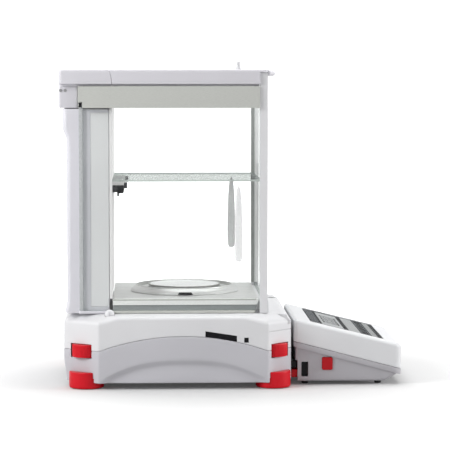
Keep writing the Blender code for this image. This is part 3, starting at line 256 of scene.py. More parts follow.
def plan(outline, inset, arc, spacing):
    """Ring round a convex outline of (x, y, radius) corners, moved inwards by inset."""
    corners = [Vector(c[:2]) for c in outline]
    count = len(corners)
    stretches = []
    for i, here in enumerate(corners):
        back = (corners[i - 1] - here).normalized()
        ahead = (corners[(i + 1) % count] - here).normalized()
        bisector = (back + ahead).normalized()
        half_angle = back.angle(ahead) / 2
        tip = here + bisector * (inset / sin(half_angle))
        if outline[i][2] == 0:
            stretches.append([tip])
            continue
        radius = max(outline[i][2] - inset, 0.0002)
        centre = tip + bisector * (radius / sin(half_angle))
        run = radius / tan(half_angle)
        start, end = tip + back * run - centre, tip + ahead * run - centre
        first = atan2(start.y, start.x)
        sweep = (atan2(end.y, end.x) - first + pi) % (2 * pi) - pi
        angles = [first + sweep * k / arc for k in range(arc + 1)]
        stretches.append([centre + radius * Vector((cos(a), sin(a))) for a in angles])
    ring = []
    for i, stretch in enumerate(stretches):
        ring += stretch
        following = stretches[(i + 1) % count][0]
        pieces = max(1, round((corners[(i + 1) % count] - corners[i]).length / spacing))
        ring += [stretch[-1].lerp(following, k / pieces) for k in range(1, pieces)]
    return ring


def rectangle(x, y, low_round, high_round=None):
    """Corners of a rectangle in plan, with the rounding at its low and high X ends."""
    if high_round is None:
        high_round = low_round
    return [(x[0], y[0], low_round), (x[1], y[0], high_round), (x[1], y[1], high_round),
            (x[0], y[1], low_round)]


def flat_ring(outline, inset, z):
    """Level ring round an outline, with few points along its straight sides."""
    return [(p.x, p.y, z) for p in plan(outline, inset, 6, 0.02)]


def level(base, offset=0.0):
    """Height as a function of x, from a number or from another such function."""
    if callable(base):
        return lambda x: base(x) + offset
    return lambda x: base + offset


def between(low, high, share):
    """Height function part of the way from one to another."""
    return lambda x: low(x) + (high(x) - low(x)) * share


def quarter(steps):
    """Angles from 0 to a right angle."""
    return [pi / 2 * k / steps for k in range(steps + 1)]


def top_edge(inset, radius, base, steps=4):
    """Rows that round a wall over at the top, where base is the height of its top."""
    return [(inset + radius * (1 - cos(a)), level(base, radius * (sin(a) - 1)))
            for a in quarter(steps)]


def bottom_edge(inset, radius, base):
    """Rows that round a wall in at the bottom, where base is the height of its foot."""
    return [(inset + radius * (1 - cos(a)), level(base, radius * (1 - sin(a))))
            for a in reversed(quarter(4))]


def wall(inset, low, high, steps):
    """Rows up a wall between two height functions, without its first row."""
    return [(inset, between(low, high, k / steps)) for k in range(1, steps + 1)]


def shell(outline, rows, arc=6, spacing=0.004):
    """Closed skin whose rows are (inset, height function) rings of one plan outline."""
    return skin([[(p.x, p.y, height(p.x)) for p in plan(outline, inset, arc, spacing)]
                 for inset, height in rows])


def rounded_box(x, y, z, radius, edge):
    """A block with upright corners of one radius and rounded top and bottom edges."""
    rows = bottom_edge(0, edge, z[0]) + top_edge(0, edge, z[1])
    return shell(rectangle(x, y, radius), rows, 5, 0.02)


def rounded_box_y(x, y, z, radius):
    """A block along Y whose outline in X and Z has rounded corners."""
    outline = []
    for cx, cz, first in ((x[1], z[0], -pi / 2), (x[1], z[1], 0.0), (x[0], z[1], pi / 2),
                          (x[0], z[0], pi)):
        centre_x = cx - radius if cx == x[1] else cx + radius
        centre_z = cz - radius if cz == z[1] else cz + radius
        outline += [(centre_x + radius * cos(first + a), centre_z + radius * sin(first + a))
                    for a in quarter(5)]
    return prism(outline, *sorted(y), "Y")


def applied(made):
    """Put the result of an object's modifiers into its mesh."""
    evaluated = made.evaluated_get(bpy.context.evaluated_depsgraph_get())
    mesh = bpy.data.meshes.new_from_object(evaluated)
    mesh.validate()
    made.modifiers.clear()
    made.data = mesh
    return made


def boolean(made, operation, shapes):
    """Cut shapes out of an object, or fuse them onto it."""
    helpers = []
    for shape in shapes:
        helper = new_object("helper", shape)
        helper.hide_render = True
        modifier = made.modifiers.new(operation, "BOOLEAN")
        modifier.operation = operation
        modifier.object = helper
        helpers.append(helper)
    applied(made)
    for helper in helpers:
        bpy.data.objects.remove(helper, do_unlink=True)
    return made


def cut(made, *shapes):
    return boolean(made, "DIFFERENCE", shapes)


def fuse(made, *shapes):
    return boolean(made, "UNION", shapes)


def smooth(made, angle=32):
    made.data.shade_smooth()
    made.data.set_sharp_from_angle(angle=radians(angle))
    return made


def bevel(made, width, segments, angle=32):
    """Round the edges that turn by more than an angle, and keep flat faces flat."""
    modifier = made.modifiers.new("bevel", "BEVEL")
    modifier.width = width
    modifier.segments = segments
    modifier.limit_method = "ANGLE"
    modifier.angle_limit = radians(angle)
    modifier.miter_outer = "MITER_ARC"
    applied(made)
    smooth(made, 50)
    weighted = made.modifiers.new("normals", "WEIGHTED_NORMAL")
    weighted.keep_sharp = True
    return applied(made)


def joined(name, objects):
    """Several objects as one, each a separate closed body."""
    total = bmesh.new()
    for part in objects:
        total.from_mesh(part.data)
        bpy.data.objects.remove(part, do_unlink=True)
    return new_object(name, total)


# ---------------------------------------------------------------- riding on the frame

def spans(node):
    """(low, high) pairs of a CAD node's box along X, Y and Z."""
    low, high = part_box(node)
    return (low.x, high.x), (low.y, high.y), (low.z, high.z)


def round_box(node):
    """Centre (x, y) and radius in plan of a round CAD node."""
    low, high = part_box(node)
    return ((low.x + high.x) / 2, (low.y + high.y) / 2), (high.x - low.x) / 2


def aside(sign, near, far):
    """(low, high) along Y between two distances from the middle plane, on one side."""
    return sorted((sign * near, sign * far))


def inner_outer(node, sign):
    """Y of the faces of a side part that look to the middle plane and away from it."""
    low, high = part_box(node)
    return (low.y, high.y) if sign > 0 else (high.y, low.y)


def dress(made, finish):
    """Give a piece one finish."""
    made.data.materials.clear()
    made.data.materials.append(finish)
    return made


def paint(made, finish, chosen):
    """Give one more finish to the faces that a test picks."""
    made.data.materials.append(finish)
    index = len(made.data.materials) - 1
    for face in made.data.polygons:
        if chosen(face):
            face.material_index = index


def stand_in(made, finish, slot, *nodes):
    """A piece that is shown in place of CAD nodes, and moves with them."""
    dress(made, finish)
    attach(made, NODES[nodes[0]]["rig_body"])
    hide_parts(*nodes)
    return made


def trim(made, finish, slot, body="base"):
    """A small detail that stands for no node of its own."""
    dress(made, finish)
    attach(made, body)
    return made


def soften(node, finish, slot, width, segments=3, name=None):
    """Replace a node by its own shape with rounded edges."""
    shape = bmesh.new()
    shape.from_mesh(NODES[node].data)
    bmesh.ops.remove_doubles(shape, verts=shape.verts, dist=2e-6)
    bmesh.ops.dissolve_limit(shape, angle_limit=radians(0.5), verts=shape.verts,
                             edges=shape.edges)
    made = new_object(name or f"{node}_body", shape)
    return stand_in(bevel(made, width, segments), finish, slot, node)


# ---------------------------------------------------------------- finishes

def feed(node, inputs):
    """Set a node's inputs to values, or link them to sockets."""
    for name, value in inputs.items():
        if isinstance(value, bpy.types.NodeSocket):
            node.id_data.links.new(value, node.inputs[name])
        else:
            node.inputs[name].default_value = value


def put(tree, kind, inputs=None, **settings):
    """A node with its settings and inputs."""
    made = tree.nodes.new(kind)
    for name, value in settings.items():
        setattr(made, name, value)
    feed(made, inputs or {})
    return made


def blank(name):
    """A new Principled material, with its tree and shader."""
    made = bpy.data.materials.new(name)
    made.use_nodes = True
    return made, made.node_tree, made.node_tree.nodes["Principled BSDF"]


def shade(color, factor):
    """A colour scaled in brightness, with alpha."""
    return tuple(min(1.0, c * factor) for c in color[:3]) + (1.0,)


def own_metres(tree):
    """Position in the object's own metres."""
    return put(tree, "ShaderNodeTexCoord").outputs["Object"]


def noise(tree, scale, detail, roughness=0.5, stretch=(1, 1, 1)):
    """Noise over the object's own metres, stretched along an axis if need be."""
    mapping = put(tree, "ShaderNodeMapping", {"Vector": own_metres(tree), "Scale": stretch})
    texture = put(tree, "ShaderNodeTexNoise",
                  {"Vector": mapping.outputs["Vector"], "Scale": scale, "Detail": detail,
                   "Roughness": roughness})
    return texture.outputs["Fac"]


def spread(tree, value, low, high, start=0.3, end=0.7):
    """Map a range, by default the middle of a noise's, to low and high."""
    made = put(tree, "ShaderNodeMapRange",
               {"Value": value, "From Min": start, "From Max": end, "To Min": low,
                "To Max": high})
    return made.outputs["Result"]


def blend(tree, share, first, second):
    """Mix two colours by a share from 0 to 1."""
    made = put(tree, "ShaderNodeMix", {0: share, 6: first, 7: second}, data_type="RGBA")
    return made.outputs[2]


def tones(tree, value, dark, light):
    """Mix two colours by a noise."""
    return blend(tree, spread(tree, value, 0.0, 1.0), dark, light)


def bump(tree, height, strength, distance, under=None):
    """A bump from a height, on top of another one if given."""
    inputs = {"Height": height, "Strength": strength, "Distance": distance}
    if under is not None:
        inputs["Normal"] = under
    return put(tree, "ShaderNodeBump", inputs).outputs["Normal"]


def length(tree, vector):
    """Length of a vector."""
    return put(tree, "ShaderNodeVectorMath", {0: vector}, operation="LENGTH").outputs["Value"]


def plastic(name, color, roughness, grain=2600, depth=0.00003, milky=0.0, shine=0.5):
    """Moulded plastic: spark-eroded grain, faint flow tones, edges worn a little paler."""
    made, tree, shader = blank(name)
    flow = tones(tree, noise(tree, 16, 3), shade(color, 0.975), shade(color, 1.015))
    pointed = put(tree, "ShaderNodeNewGeometry").outputs["Pointiness"]
    worn = spread(tree, pointed, 0.0, 0.35, 0.52, 0.60)
    slow = bump(tree, noise(tree, 60, 1), 0.06, 0.0003)
    feed(shader, {
        "Base Color": blend(tree, worn, flow, shade(color, 1.10)),
        "Roughness": spread(tree, noise(tree, 70, 5), roughness - 0.04, roughness + 0.05),
        "Normal": bump(tree, noise(tree, grain, 2), 0.35, depth, slow),
        "IOR": 1.46,
        "Specular IOR Level": shine,
        "Subsurface Weight": milky,
        "Subsurface Radius": (0.004, 0.004, 0.004),
        "Subsurface Scale": 1.0,
    })
    return made


def brushed(name, color, roughness, stretch=(9, 1, 9), scale=260, metallic=1.0):
    """Metal brushed along the axis with the smallest stretch."""
    made, tree, shader = blank(name)
    lines = noise(tree, scale, 4, 0.6, stretch)
    feed(shader, {
        "Base Color": tones(tree, lines, shade(color, 0.92), shade(color, 1.05)),
        "Roughness": spread(tree, noise(tree, 40, 4), roughness - 0.05, roughness + 0.07),
        "Normal": bump(tree, lines, 0.12, 0.00003),
        "Metallic": metallic,
    })
    return made


def spun(name, color, roughness, metallic):
    """Metal turned on a lathe: fine rings round the pan's upright axis."""
    made, tree, shader = blank(name)
    shift = put(tree, "ShaderNodeVectorMath", {0: own_metres(tree), 1: (PAN_X, 0.0, 0.0)},
                operation="SUBTRACT")
    flat = put(tree, "ShaderNodeVectorMath", {0: shift.outputs["Vector"], 1: (1.0, 1.0, 0.0)},
               operation="MULTIPLY")
    rings = put(tree, "ShaderNodeTexNoise", noise_dimensions="1D")
    feed(rings, {"W": length(tree, flat.outputs["Vector"]), "Scale": 1500, "Detail": 2.0})
    lines = rings.outputs["Fac"]
    feed(shader, {
        "Base Color": tones(tree, lines, shade(color, 0.93), shade(color, 1.04)),
        "Roughness": spread(tree, noise(tree, 55, 4), roughness - 0.04, roughness + 0.06),
        "Normal": bump(tree, lines, 0.05, 0.00001),
        "Metallic": metallic,
    })
    return made


def mix_surfaces(tree, share, first, second):
    """End a material in a mix of two shaders, the second by the share."""
    mix = put(tree, "ShaderNodeMixShader",
              {"Fac": share, 1: first.outputs["BSDF"], 2: second.outputs["BSDF"]})
    feed(tree.nodes["Material Output"], {"Surface": mix.outputs["Shader"]})


def pane(name, tint, gloss_roughness=0.02, film=None, deep=None, steep_share=0.35):
    """Thin clear glass. The mirrored share grows as the sight line grazes either face.

    A Fresnel node is not used: on the rear face of a sheet it stops all slanting light.
    With a deep tint, slanting sight lines see the longer way through the sheet.
    """
    made, tree, mirror = blank(name)
    smears = spread(tree, noise(tree, 28, 4), gloss_roughness, gloss_roughness + 0.05)
    feed(mirror, {"Base Color": (1.0, 1.0, 1.0, 1.0), "Metallic": 1.0, "Roughness": smears})
    clear = put(tree, "ShaderNodeBsdfTransparent", {"Color": (*tint, 1.0)})
    share = film
    if film is None:
        facing = put(tree, "ShaderNodeLayerWeight", {"Blend": 0.5}).outputs["Facing"]
        steep = put(tree, "ShaderNodeMath", {0: facing, 1: 5.0}, operation="POWER")
        share = put(tree, "ShaderNodeMath",
                    {0: steep.outputs["Value"], 1: steep_share, 2: 0.025},
                    operation="MULTIPLY_ADD").outputs["Value"]
        if deep is not None:
            feed(clear, {"Color": tones(tree, steep.outputs["Value"], (*tint, 1.0),
                                        (*deep, 1.0))})
    mix_surfaces(tree, share, clear, mirror)
    return made


def ground_edge(name, color, clearness=0.35, through=(0.86, 0.93, 0.90)):
    """The ground edge of a glass pane, seen through its depth."""
    made, tree, shader = blank(name)
    feed(shader, {
        "Base Color": tones(tree, noise(tree, 900, 3), shade(color, 0.85), shade(color, 1.1)),
        "Roughness": spread(tree, noise(tree, 500, 3), 0.2, 0.35),
    })
    clear = put(tree, "ShaderNodeBsdfTransparent", {"Color": (*through, 1.0)})
    mix_surfaces(tree, clearness, shader, clear)
    return made


def board_finish(name):
    """Solder mask with the ghosts of tracks under it."""
    made, tree, shader = blank(name)
    tracks = put(tree, "ShaderNodeTexBrick",
                 {"Vector": own_metres(tree), "Scale": 120, "Mortar Size": 0.04,
                  "Color1": (0.01, 0.16, 0.07, 1), "Color2": (0.015, 0.20, 0.09, 1),
                  "Mortar": (0.05, 0.34, 0.16, 1)})
    feed(shader, {
        "Base Color": tracks.outputs["Color"],
        "Roughness": spread(tree, noise(tree, 200, 3), 0.3, 0.45),
        "Normal": bump(tree, tracks.outputs["Fac"], 0.2, 0.00005),
    })
    return made


def display_tone(name, color):
    """A printed or liquid crystal area with its fine dot grid."""
    made, tree, shader = blank(name)
    dots = put(tree, "ShaderNodeTexChecker",
               {"Vector": own_metres(tree), "Scale": 2200, "Color1": shade(color, 0.96),
                "Color2": shade(color, 1.03)})
    feed(shader, {
        "Base Color": dots.outputs["Color"],
        "Roughness": spread(tree, noise(tree, 90, 3), 0.25, 0.35),
        "Specular IOR Level": 0.0,
    })
    return made


WHITE = plastic("white_plastic", (0.70, 0.70, 0.715), 0.40)
TERMINAL_WHITE = plastic("terminal_white_plastic", (0.69, 0.695, 0.71), 0.40)
TERMINAL_GREY = plastic("terminal_grey_plastic", (0.43, 0.42, 0.445), 0.42)
GREY = plastic("grey_plastic", (0.525, 0.52, 0.553), 0.42)
COVER = plastic("cover_plastic", (0.65, 0.64, 0.68), 0.38)
COLUMN = plastic("column_plastic", (0.68, 0.675, 0.72), 0.40)
COLUMN_PANEL = plastic("column_panel_plastic", (0.735, 0.735, 0.745), 0.42)
LINER = plastic("liner_plastic", (0.86, 0.84, 0.845), 0.45)
RAIL = brushed("anodised_rail", (0.54, 0.55, 0.52), 0.45, (1, 9, 9), 300, 0.15)
# Lit and shaded copies of the rail metal: painted light on the upward lip, painted shade in the groove
# below it.
RAIL_PAINTED_LIGHT = brushed("rail_lip_painted_light", (0.93, 0.93, 0.92), 0.38, (1, 9, 9), 300, 0.0)
RAIL_PAINTED_SHADE = brushed("rail_groove_painted_shade", (0.37, 0.39, 0.40), 0.40, (1, 9, 9), 300, 0.15)
RED = plastic("red_plastic", (0.62, 0.007, 0.017), 0.36, 3000, shine=0.22)
RED_DARK = plastic("dark_red_plastic", (0.44, 0.007, 0.012), 0.36, 3000, shine=0.22)
BLACK = plastic("black_plastic", (0.006, 0.006, 0.008), 0.40, 3000, shine=0.2)
# Painted shade and painted light for the posts' inner faces: a dark strip at their rear edge and a
# pale strip in front of it.
POST_SHADE_PAINT = plastic("post_painted_shade", (0.30, 0.315, 0.305), 0.60, 3000, shine=0.3)
POST_LIGHT_PAINT = plastic("post_liner_plastic", (0.92, 0.92, 0.925), 0.45)
DARK = plastic("dark_grey_plastic", (0.07, 0.07, 0.075), 0.42, 3000, shine=0.3)
MILKY = plastic("milky_plastic", (0.78, 0.78, 0.80), 0.30, 3000, 0.00001, 0.12)
HANDLE = ground_edge("handle_plastic", (0.78, 0.78, 0.79), 0.46, (0.97, 0.97, 0.97))
KNOB = plastic("knob_plastic", (0.64, 0.64, 0.66), 0.30, 3000, 0.00001, 0.05)
STEEL = brushed("stainless_plate", (0.57, 0.57, 0.565), 0.36, metallic=0.40)
PAN_STEEL = spun("spun_pan_steel", (0.86, 0.86, 0.86), 0.34, 0.35)
# Darker copy of the spun steel: painted shade on the pan's rim and on the ring's inner slope round the
# pan.
RIM_PAINTED_SHADE = spun("steel_rim_painted_shade", (0.30, 0.30, 0.29), 0.32, 0.5)
RING_STEEL = spun("spun_ring_steel", (0.60, 0.60, 0.595), 0.36, 0.35)
SCREW = brushed("screw_steel", (0.42, 0.42, 0.43), 0.30, (4, 4, 4), 500)
ALLOY = brushed("cast_alloy", (0.62, 0.62, 0.64), 0.45, (2, 2, 2), 400)
GLASS = pane("clear_glass", (0.984, 0.990, 0.987))
SHELF_GLASS = pane("shelf_glass", (0.984, 0.990, 0.987), deep=(0.70, 0.715, 0.71),
                   steep_share=0.12)
GLASS_EDGE = ground_edge("glass_edge", (0.30, 0.34, 0.33))
GLASS_BAND = ground_edge("glass_ground_band", (0.66, 0.67, 0.68), 0.42, (0.90, 0.93, 0.92))
SHELF_EDGE = ground_edge("shelf_edge", (0.62, 0.66, 0.64), 0.15)
SCREEN_GLASS = pane("screen_cover_glass", (0.98, 0.985, 0.985), 0.06, film=0.04)
SCREEN_BORDER = display_tone("screen_border", (0.030, 0.031, 0.034))
SCREEN_LIGHT = display_tone("screen_light", (0.455, 0.46, 0.465))
SCREEN_PALE = display_tone("screen_pale", (0.33, 0.335, 0.335))
SCREEN_KEYS = display_tone("screen_keys", (0.397, 0.400, 0.403))
SCREEN_MID = display_tone("screen_mid", (0.105, 0.11, 0.118))
SCREEN_INK = display_tone("screen_ink", (0.006, 0.006, 0.008))
BOARD = board_finish("solder_mask")
RUBBER = plastic("rubber", (0.035, 0.035, 0.037), 0.75, 1500, 0.00006, shine=0.2)
LIQUID = plastic("level_liquid", (0.45, 0.62, 0.10), 0.12, 2000, 0.00001)


# ---------------------------------------------------------------- base

def clamp(value):
    return max(0.0, min(1.0, value))


def ease(value):
    """Smooth step from 0 to 1."""
    t = clamp(value)
    return t * t * (3 - 2 * t)


def base_outline():
    """Plan of the base: a rectangle with its four corners cut off."""
    end = BASE_HALF - CORNER_DROP
    corners = [(SIDE_REAR_X, -BASE_HALF), (SIDE_FRONT_X, -BASE_HALF), (BASE_HIGH.x, -end),
               (BASE_HIGH.x, end), (SIDE_FRONT_X, BASE_HALF), (SIDE_REAR_X, BASE_HALF),
               (BASE_LOW.x, end), (BASE_LOW.x, -end)]
    return [(x, y, BASE_ROUND) for x, y in corners]


def seam_height(x):
    """Seam between the housings: level round the ends, an arc along each side."""
    middle = (SIDE_REAR_X + SIDE_FRONT_X) / 2
    half_chord = (SIDE_FRONT_X - SIDE_REAR_X) / 2
    radius = (half_chord ** 2 + SEAM_RISE ** 2) / (2 * SEAM_RISE)
    away = min(abs(x - middle), half_chord)
    return SEAM_Z + SEAM_RISE - radius + sqrt(radius ** 2 - away ** 2)


def arch_height(x):
    """Upper edge of the recess in the lower housing's side."""
    t = clamp((x - ARCH_START_X) / (ARCH_END_X - ARCH_START_X))
    return ARCH_FOOT_Z + (ARCH_TOP_Z - ARCH_FOOT_Z) * (1 - abs(2 * t - 1) ** ARCH_POWER)


def arch_depth(x, z):
    """How far the recess is scooped out of the side at a place on it."""
    ends = ease((x - ARCH_START_X) / ARCH_END_RUN) * ease((ARCH_END_X - x) / ARCH_END_RUN)
    below = arch_height(x) - z
    scoop = ease(below / ARCH_EDGE) * (1 - ARCH_RETURN * ease((below - ARCH_EDGE) / ARCH_RETURN_RUN))
    return ARCH_DEPTH * ends * scoop


def crease_height(x):
    """Height where the side walls turn in to the deck."""
    rear = ease((x - SIDE_REAR_X) / (CREASE_REAR_X - SIDE_REAR_X))
    front = ease((SIDE_FRONT_X - x) / (SIDE_FRONT_X - CREASE_FRONT_X))
    return CREASE_END_Z + (CREASE_MID_Z - CREASE_END_Z) * min(rear, front)


def crease_curve(t, size):
    """Height round the crease, from the wall at t 0 to the deck's slope at t 1."""
    def height(x):
        crease = crease_height(x)
        slope = (DECK_Z - crease) / DECK_INSET
        return ((1 - t) ** 2 * (crease - size) + 2 * t * (1 - t) * crease
                + t * t * (crease + size * slope))
    return height


def deck_curve(t, size):
    """Height where the deck's slope runs out into its flat middle."""
    def height(x):
        slope = (DECK_Z - crease_height(x)) / DECK_INSET
        return DECK_Z - size * slope * (1 - t) ** 2
    return height


def foot_corners():
    """Name, foot axis, middle of the cut-off face and its outward direction."""
    found = []
    for end, x_side, x_end in (("rear", SIDE_REAR_X, BASE_LOW.x),
                               ("front", SIDE_FRONT_X, BASE_HIGH.x)):
        for side, sign in SIDES:
            middle = Vector(((x_side + x_end) / 2, sign * (BASE_HALF - CORNER_DROP / 2)))
            run = abs(x_end - x_side)
            slant = hypot(run, CORNER_DROP)
            forward = 1 if x_end > x_side else -1
            outward = Vector((forward * CORNER_DROP / slant, sign * run / slant))
            found.append((f"{end}_{side}", middle - FOOT_INSET * outward, middle, outward))
    return found


def wheel_pockets():
    """Spaces that the levelling wheels turn in."""
    side_gap, end_gap = 0.0016, 0.0008
    _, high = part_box("levelling_wheel_front_left")
    return [cylinder(axis, WHEEL_RADIUS + side_gap, high.z - WHEEL_RIM - end_gap, high.z + end_gap)
            for _, axis, _, _ in foot_corners()]


def lower_housing():
    bottom = BASE_LOW.z
    low_round, lip_round, thickness, floor_lift = 0.0012, 0.0008, 0.0075, 0.003
    rear_tuck, tuck_top, tuck_rise = 0.0030, 0.036, 0.030
    socket_gap, socket_top = 0.0006, 0.0121
    arch = level(arch_height)
    rows = bottom_edge(0.0, low_round, bottom)
    rows += wall(0.0, level(bottom, low_round), arch, 16)
    rows += wall(0.0, arch, level(seam_height, -lip_round), 8)
    rows += top_edge(0.0, lip_round, seam_height)[1:]
    outer_rows = len(rows)
    rows += [(thickness, level(seam_height)), (thickness, level(bottom, floor_lift))]
    shape = shell(base_outline(), rows, 6, 0.0025)
    per_row = len(shape.verts) // len(rows)
    for vertex in shape.verts[:outer_rows * per_row]:
        x, y, z = vertex.co
        if abs(y) > BASE_HALF - 2 * low_round:
            vertex.co.y -= arch_depth(x, z) if y > 0 else -arch_depth(x, z)
        if x < SIDE_REAR_X:
            share = (SIDE_REAR_X - x) / REAR_CORNER_RUN
            vertex.co.x += rear_tuck * share * ease((tuck_top - z) / tuck_rise)
    made = new_object("lower_housing_shell", shape)
    sockets = [cylinder(axis, FOOT_RADIUS + socket_gap, 0.0, socket_top)
               for _, axis, _, _ in foot_corners()]
    cut(made, *sockets, *wheel_pockets())
    stand_in(smooth(made, 30), GREY, "lower_shell", "lower_housing")


def shoulder():
    """Crowned step in front of the front glass, with the bar that carries the glass."""
    profile = [(0.0290, 0.0760), (0.0662, 0.0700), (0.0662, 0.0730), (0.0625, 0.0770),
               (0.0610, 0.0813), (0.0591, 0.0864), (0.0562, 0.0874), (0.0540, 0.0900),
               (0.0430, 0.0905), (0.0408, 0.0915), (0.0406, 0.0955), (0.0400, 0.0960),
               (0.0290, 0.0960)]
    bar_front_x, foot, half, fall, steps = 0.0406, 0.0800, 0.0895, 0.92, 40
    rings = []
    for i in range(steps + 1):
        y = half * (2 * i / steps - 1)
        crown = 1 - fall * abs(y / half) ** 3
        rings.append([(x, y, z if x <= bar_front_x or z <= foot else foot + (z - foot) * crown)
                      for x, z in profile])
    return skin(rings)


def front_seam():
    """Shallow line round the front end of the upper housing."""
    low_z, high_z, depth, beyond = 0.0636, 0.0644, 0.0011, 0.01
    ring = new_object("front_seam", block((SIDE_FRONT_X + 0.001, BASE_HIGH.x + beyond),
                                          (-BASE_HALF - beyond, BASE_HALF + beyond),
                                          (low_z, high_z)))
    cut(ring, shell(base_outline(), [(depth, level(low_z - beyond)),
                                     (depth, level(high_z + beyond))]))
    shape = bmesh.new()
    shape.from_mesh(ring.data)
    bpy.data.objects.remove(ring, do_unlink=True)
    return shape


def latch_bores():
    """Round recesses that the latch knobs sit in."""
    axis, radius, floor_y, mouth_y = (-0.136, 0.08275), 0.0056, 0.1009, 0.1069
    return [cylinder(axis, radius, *aside(sign, floor_y, mouth_y), "Y") for _, sign in SIDES]


def side_windows():
    """Long slanting window and small square one in the left wall."""
    through = (-0.13, -0.108)
    long_window = [(-0.0303, 0.045), (0.0047, 0.045), (0.0047, 0.0597), (-0.0303, 0.065)]
    return [prism(long_window, *through, "Y"),
            block((0.0127, 0.0177), through, (0.0520, 0.0576))]


def upper_housing():
    seam = level(seam_height, GAP)
    edge, crease_round, deck_round, thickness = 0.0008, 0.0032, 0.0030, 0.003
    rows = [(thickness, level(0.070)), (thickness, seam)]
    rows += bottom_edge(0.0, edge, seam)
    rows += wall(0.0, level(seam_height, GAP + edge), level(crease_height, -crease_round), 8)
    rows += [(crease_round * t * t, crease_curve(t, crease_round))
             for t in [k / 6 for k in range(1, 7)]]
    rows += [(DECK_INSET + deck_round * (2 * t - 1), deck_curve(t, deck_round))
             for t in [k / 4 for k in range(5)]]
    made = new_object("upper_housing_shell", shell(base_outline(), rows, 6, 0.003))
    floor_x, floor_y, floor_z = spans("floor_plate")
    plateau = rounded_box((floor_x[0], 0.0300), floor_y, (0.0780, floor_z[0] - GAP), 0.002, 0.0006)
    fuse(made, plateau, shoulder())
    port_x, _, port_z = spans("rear_port_panel")
    rear_window = rounded_box((port_x[0] - 0.01, port_x[1] + 0.01), (-0.060, 0.060),
                              (port_z[0] - GAP, port_z[1] + GAP), 0.001, 0.001)
    vial_centre, vial_radius = round_box("level_vial")
    vial_z = spans("level_vial")[2]
    above, stem_hole = 0.11, 0.006
    cut(made, front_seam(), *wheel_pockets(), *latch_bores(), *side_windows(), rear_window,
        cylinder(vial_centre, vial_radius + GAP, vial_z[0] - GAP, above),
        cylinder((PAN_X, 0.0), stem_hole, 0.072, above))
    stand_in(smooth(made, 30), WHITE, "upper_shell", "upper_housing")


def side_ports():
    """Connector strip behind the two windows in the left wall."""
    face_y, depth_y, slot_floor_y = -0.1135, -0.106, -0.1126
    made = new_object("side_port_strip", block((-0.033, 0.020), (-0.1077, -0.105), (0.050, 0.067)))
    fuse(made, prism([(-0.0299, 0.0588), (0.0044, 0.0536), (0.0044, 0.0593), (-0.0299, 0.0645)],
                     face_y, depth_y, "Y"),
         block((0.0130, 0.0174), (face_y, depth_y), (0.0523, 0.0573)))
    first_x, first_z, pitch, fall = -0.0255, 0.0612, 0.0085, 0.0013
    half_wide, half_tall = 0.0028, 0.0012
    slots = []
    for i in range(4):
        x, z = first_x + pitch * i, first_z - fall * i
        slots.append(block((x - half_wide, x + half_wide), (-0.115, slot_floor_y),
                           (z - half_tall, z + half_tall)))
    cut(made, *slots)
    stand_in(bevel(made, 0.0003, 2), BLACK, "black_plastic", "side_port_block")


def rear_ports():
    """Rear panel with a power inlet, a USB socket and a serial socket."""
    panel_x, panel_y, panel_z = spans("rear_port_panel")
    made = new_object("rear_port_plate", rounded_box(panel_x, panel_y, panel_z, 0.0006, 0.0006))
    through = (panel_x[0] - 0.002, panel_x[1] + 0.002)
    inlet = (-0.042, 0.058)
    cut(made, cylinder(inlet, 0.0042, *through, "X"),
        block(through, (-0.018, -0.005), (0.0545, 0.0610)),
        block(through, (0.010, 0.032), (0.0530, 0.0625)))
    stand_in(bevel(made, 0.0003, 2), GREY, "rear_panel", "rear_port_panel")
    back_x = panel_x[1] + 0.001
    tongue_x = (panel_x[0] + 0.0006, back_x)
    pin = cylinder(inlet, 0.0011, panel_x[0] + 0.0004, back_x, "X", 32)
    for name, shape, finish in (
            ("power_inlet_pin", pin, SCREW),
            ("usb_tongue", block(tongue_x, (-0.0165, -0.0065), (0.0560, 0.0580)), BLACK),
            ("serial_shroud", block(tongue_x, (0.0120, 0.0300), (0.0550, 0.0605)), BLACK)):
        trim(bevel(new_object(name, shape), 0.0002, 2), finish, "black_plastic")
    pitch, radius, pin_x = 0.00375, 0.0005, (panel_x[0] + 0.0002, panel_x[0] + 0.001)
    pins = [cylinder((first_y + pitch * i, z), radius, *pin_x, "X", 12)
            for first_y, z, count in ((0.0135, 0.0591, 5), (0.0154, 0.0565, 4))
            for i in range(count)]
    contacts = joined("serial_contacts", [new_object("contact", shape) for shape in pins])
    trim(contacts, SCREW, "black_plastic")


def wheel_profile(low, high):
    """Section of a levelling wheel: a thin spindle under a thick chamfered rim."""
    rim_low, chamfer, tip = high - WHEEL_RIM, 0.0010, 0.0004
    bulge = 0.3 * chamfer
    return [(0.0, low), (SPINDLE_RADIUS - tip, low), (SPINDLE_RADIUS, low + tip),
            (SPINDLE_RADIUS, rim_low), (WHEEL_RADIUS - chamfer, rim_low),
            (WHEEL_RADIUS - bulge, rim_low + bulge), (WHEEL_RADIUS, rim_low + chamfer),
            (WHEEL_RADIUS, high - chamfer), (WHEEL_RADIUS - bulge, high - bulge),
            (WHEEL_RADIUS - chamfer, high), (0.0, high)]


def shoe_profile(low, high):
    """Section of a levelling shoe, with a rounded foot and top edge."""
    foot_round, top_round, sole, steps = 0.0022, 0.0012, low + 0.0003, 5
    profile = [(0.0, low + PAD_DEPTH), (PAD_RADIUS, low + PAD_DEPTH), (FOOT_RADIUS - foot_round, sole)]
    profile += [(FOOT_RADIUS - foot_round * (1 - sin(a)), sole + foot_round * (1 - cos(a)))
                for a in quarter(steps)[1:]]
    profile += [(FOOT_RADIUS - top_round * (1 - cos(a)), high - top_round * (1 - sin(a)))
                for a in quarter(steps)]
    return profile + [(0.0, high)]


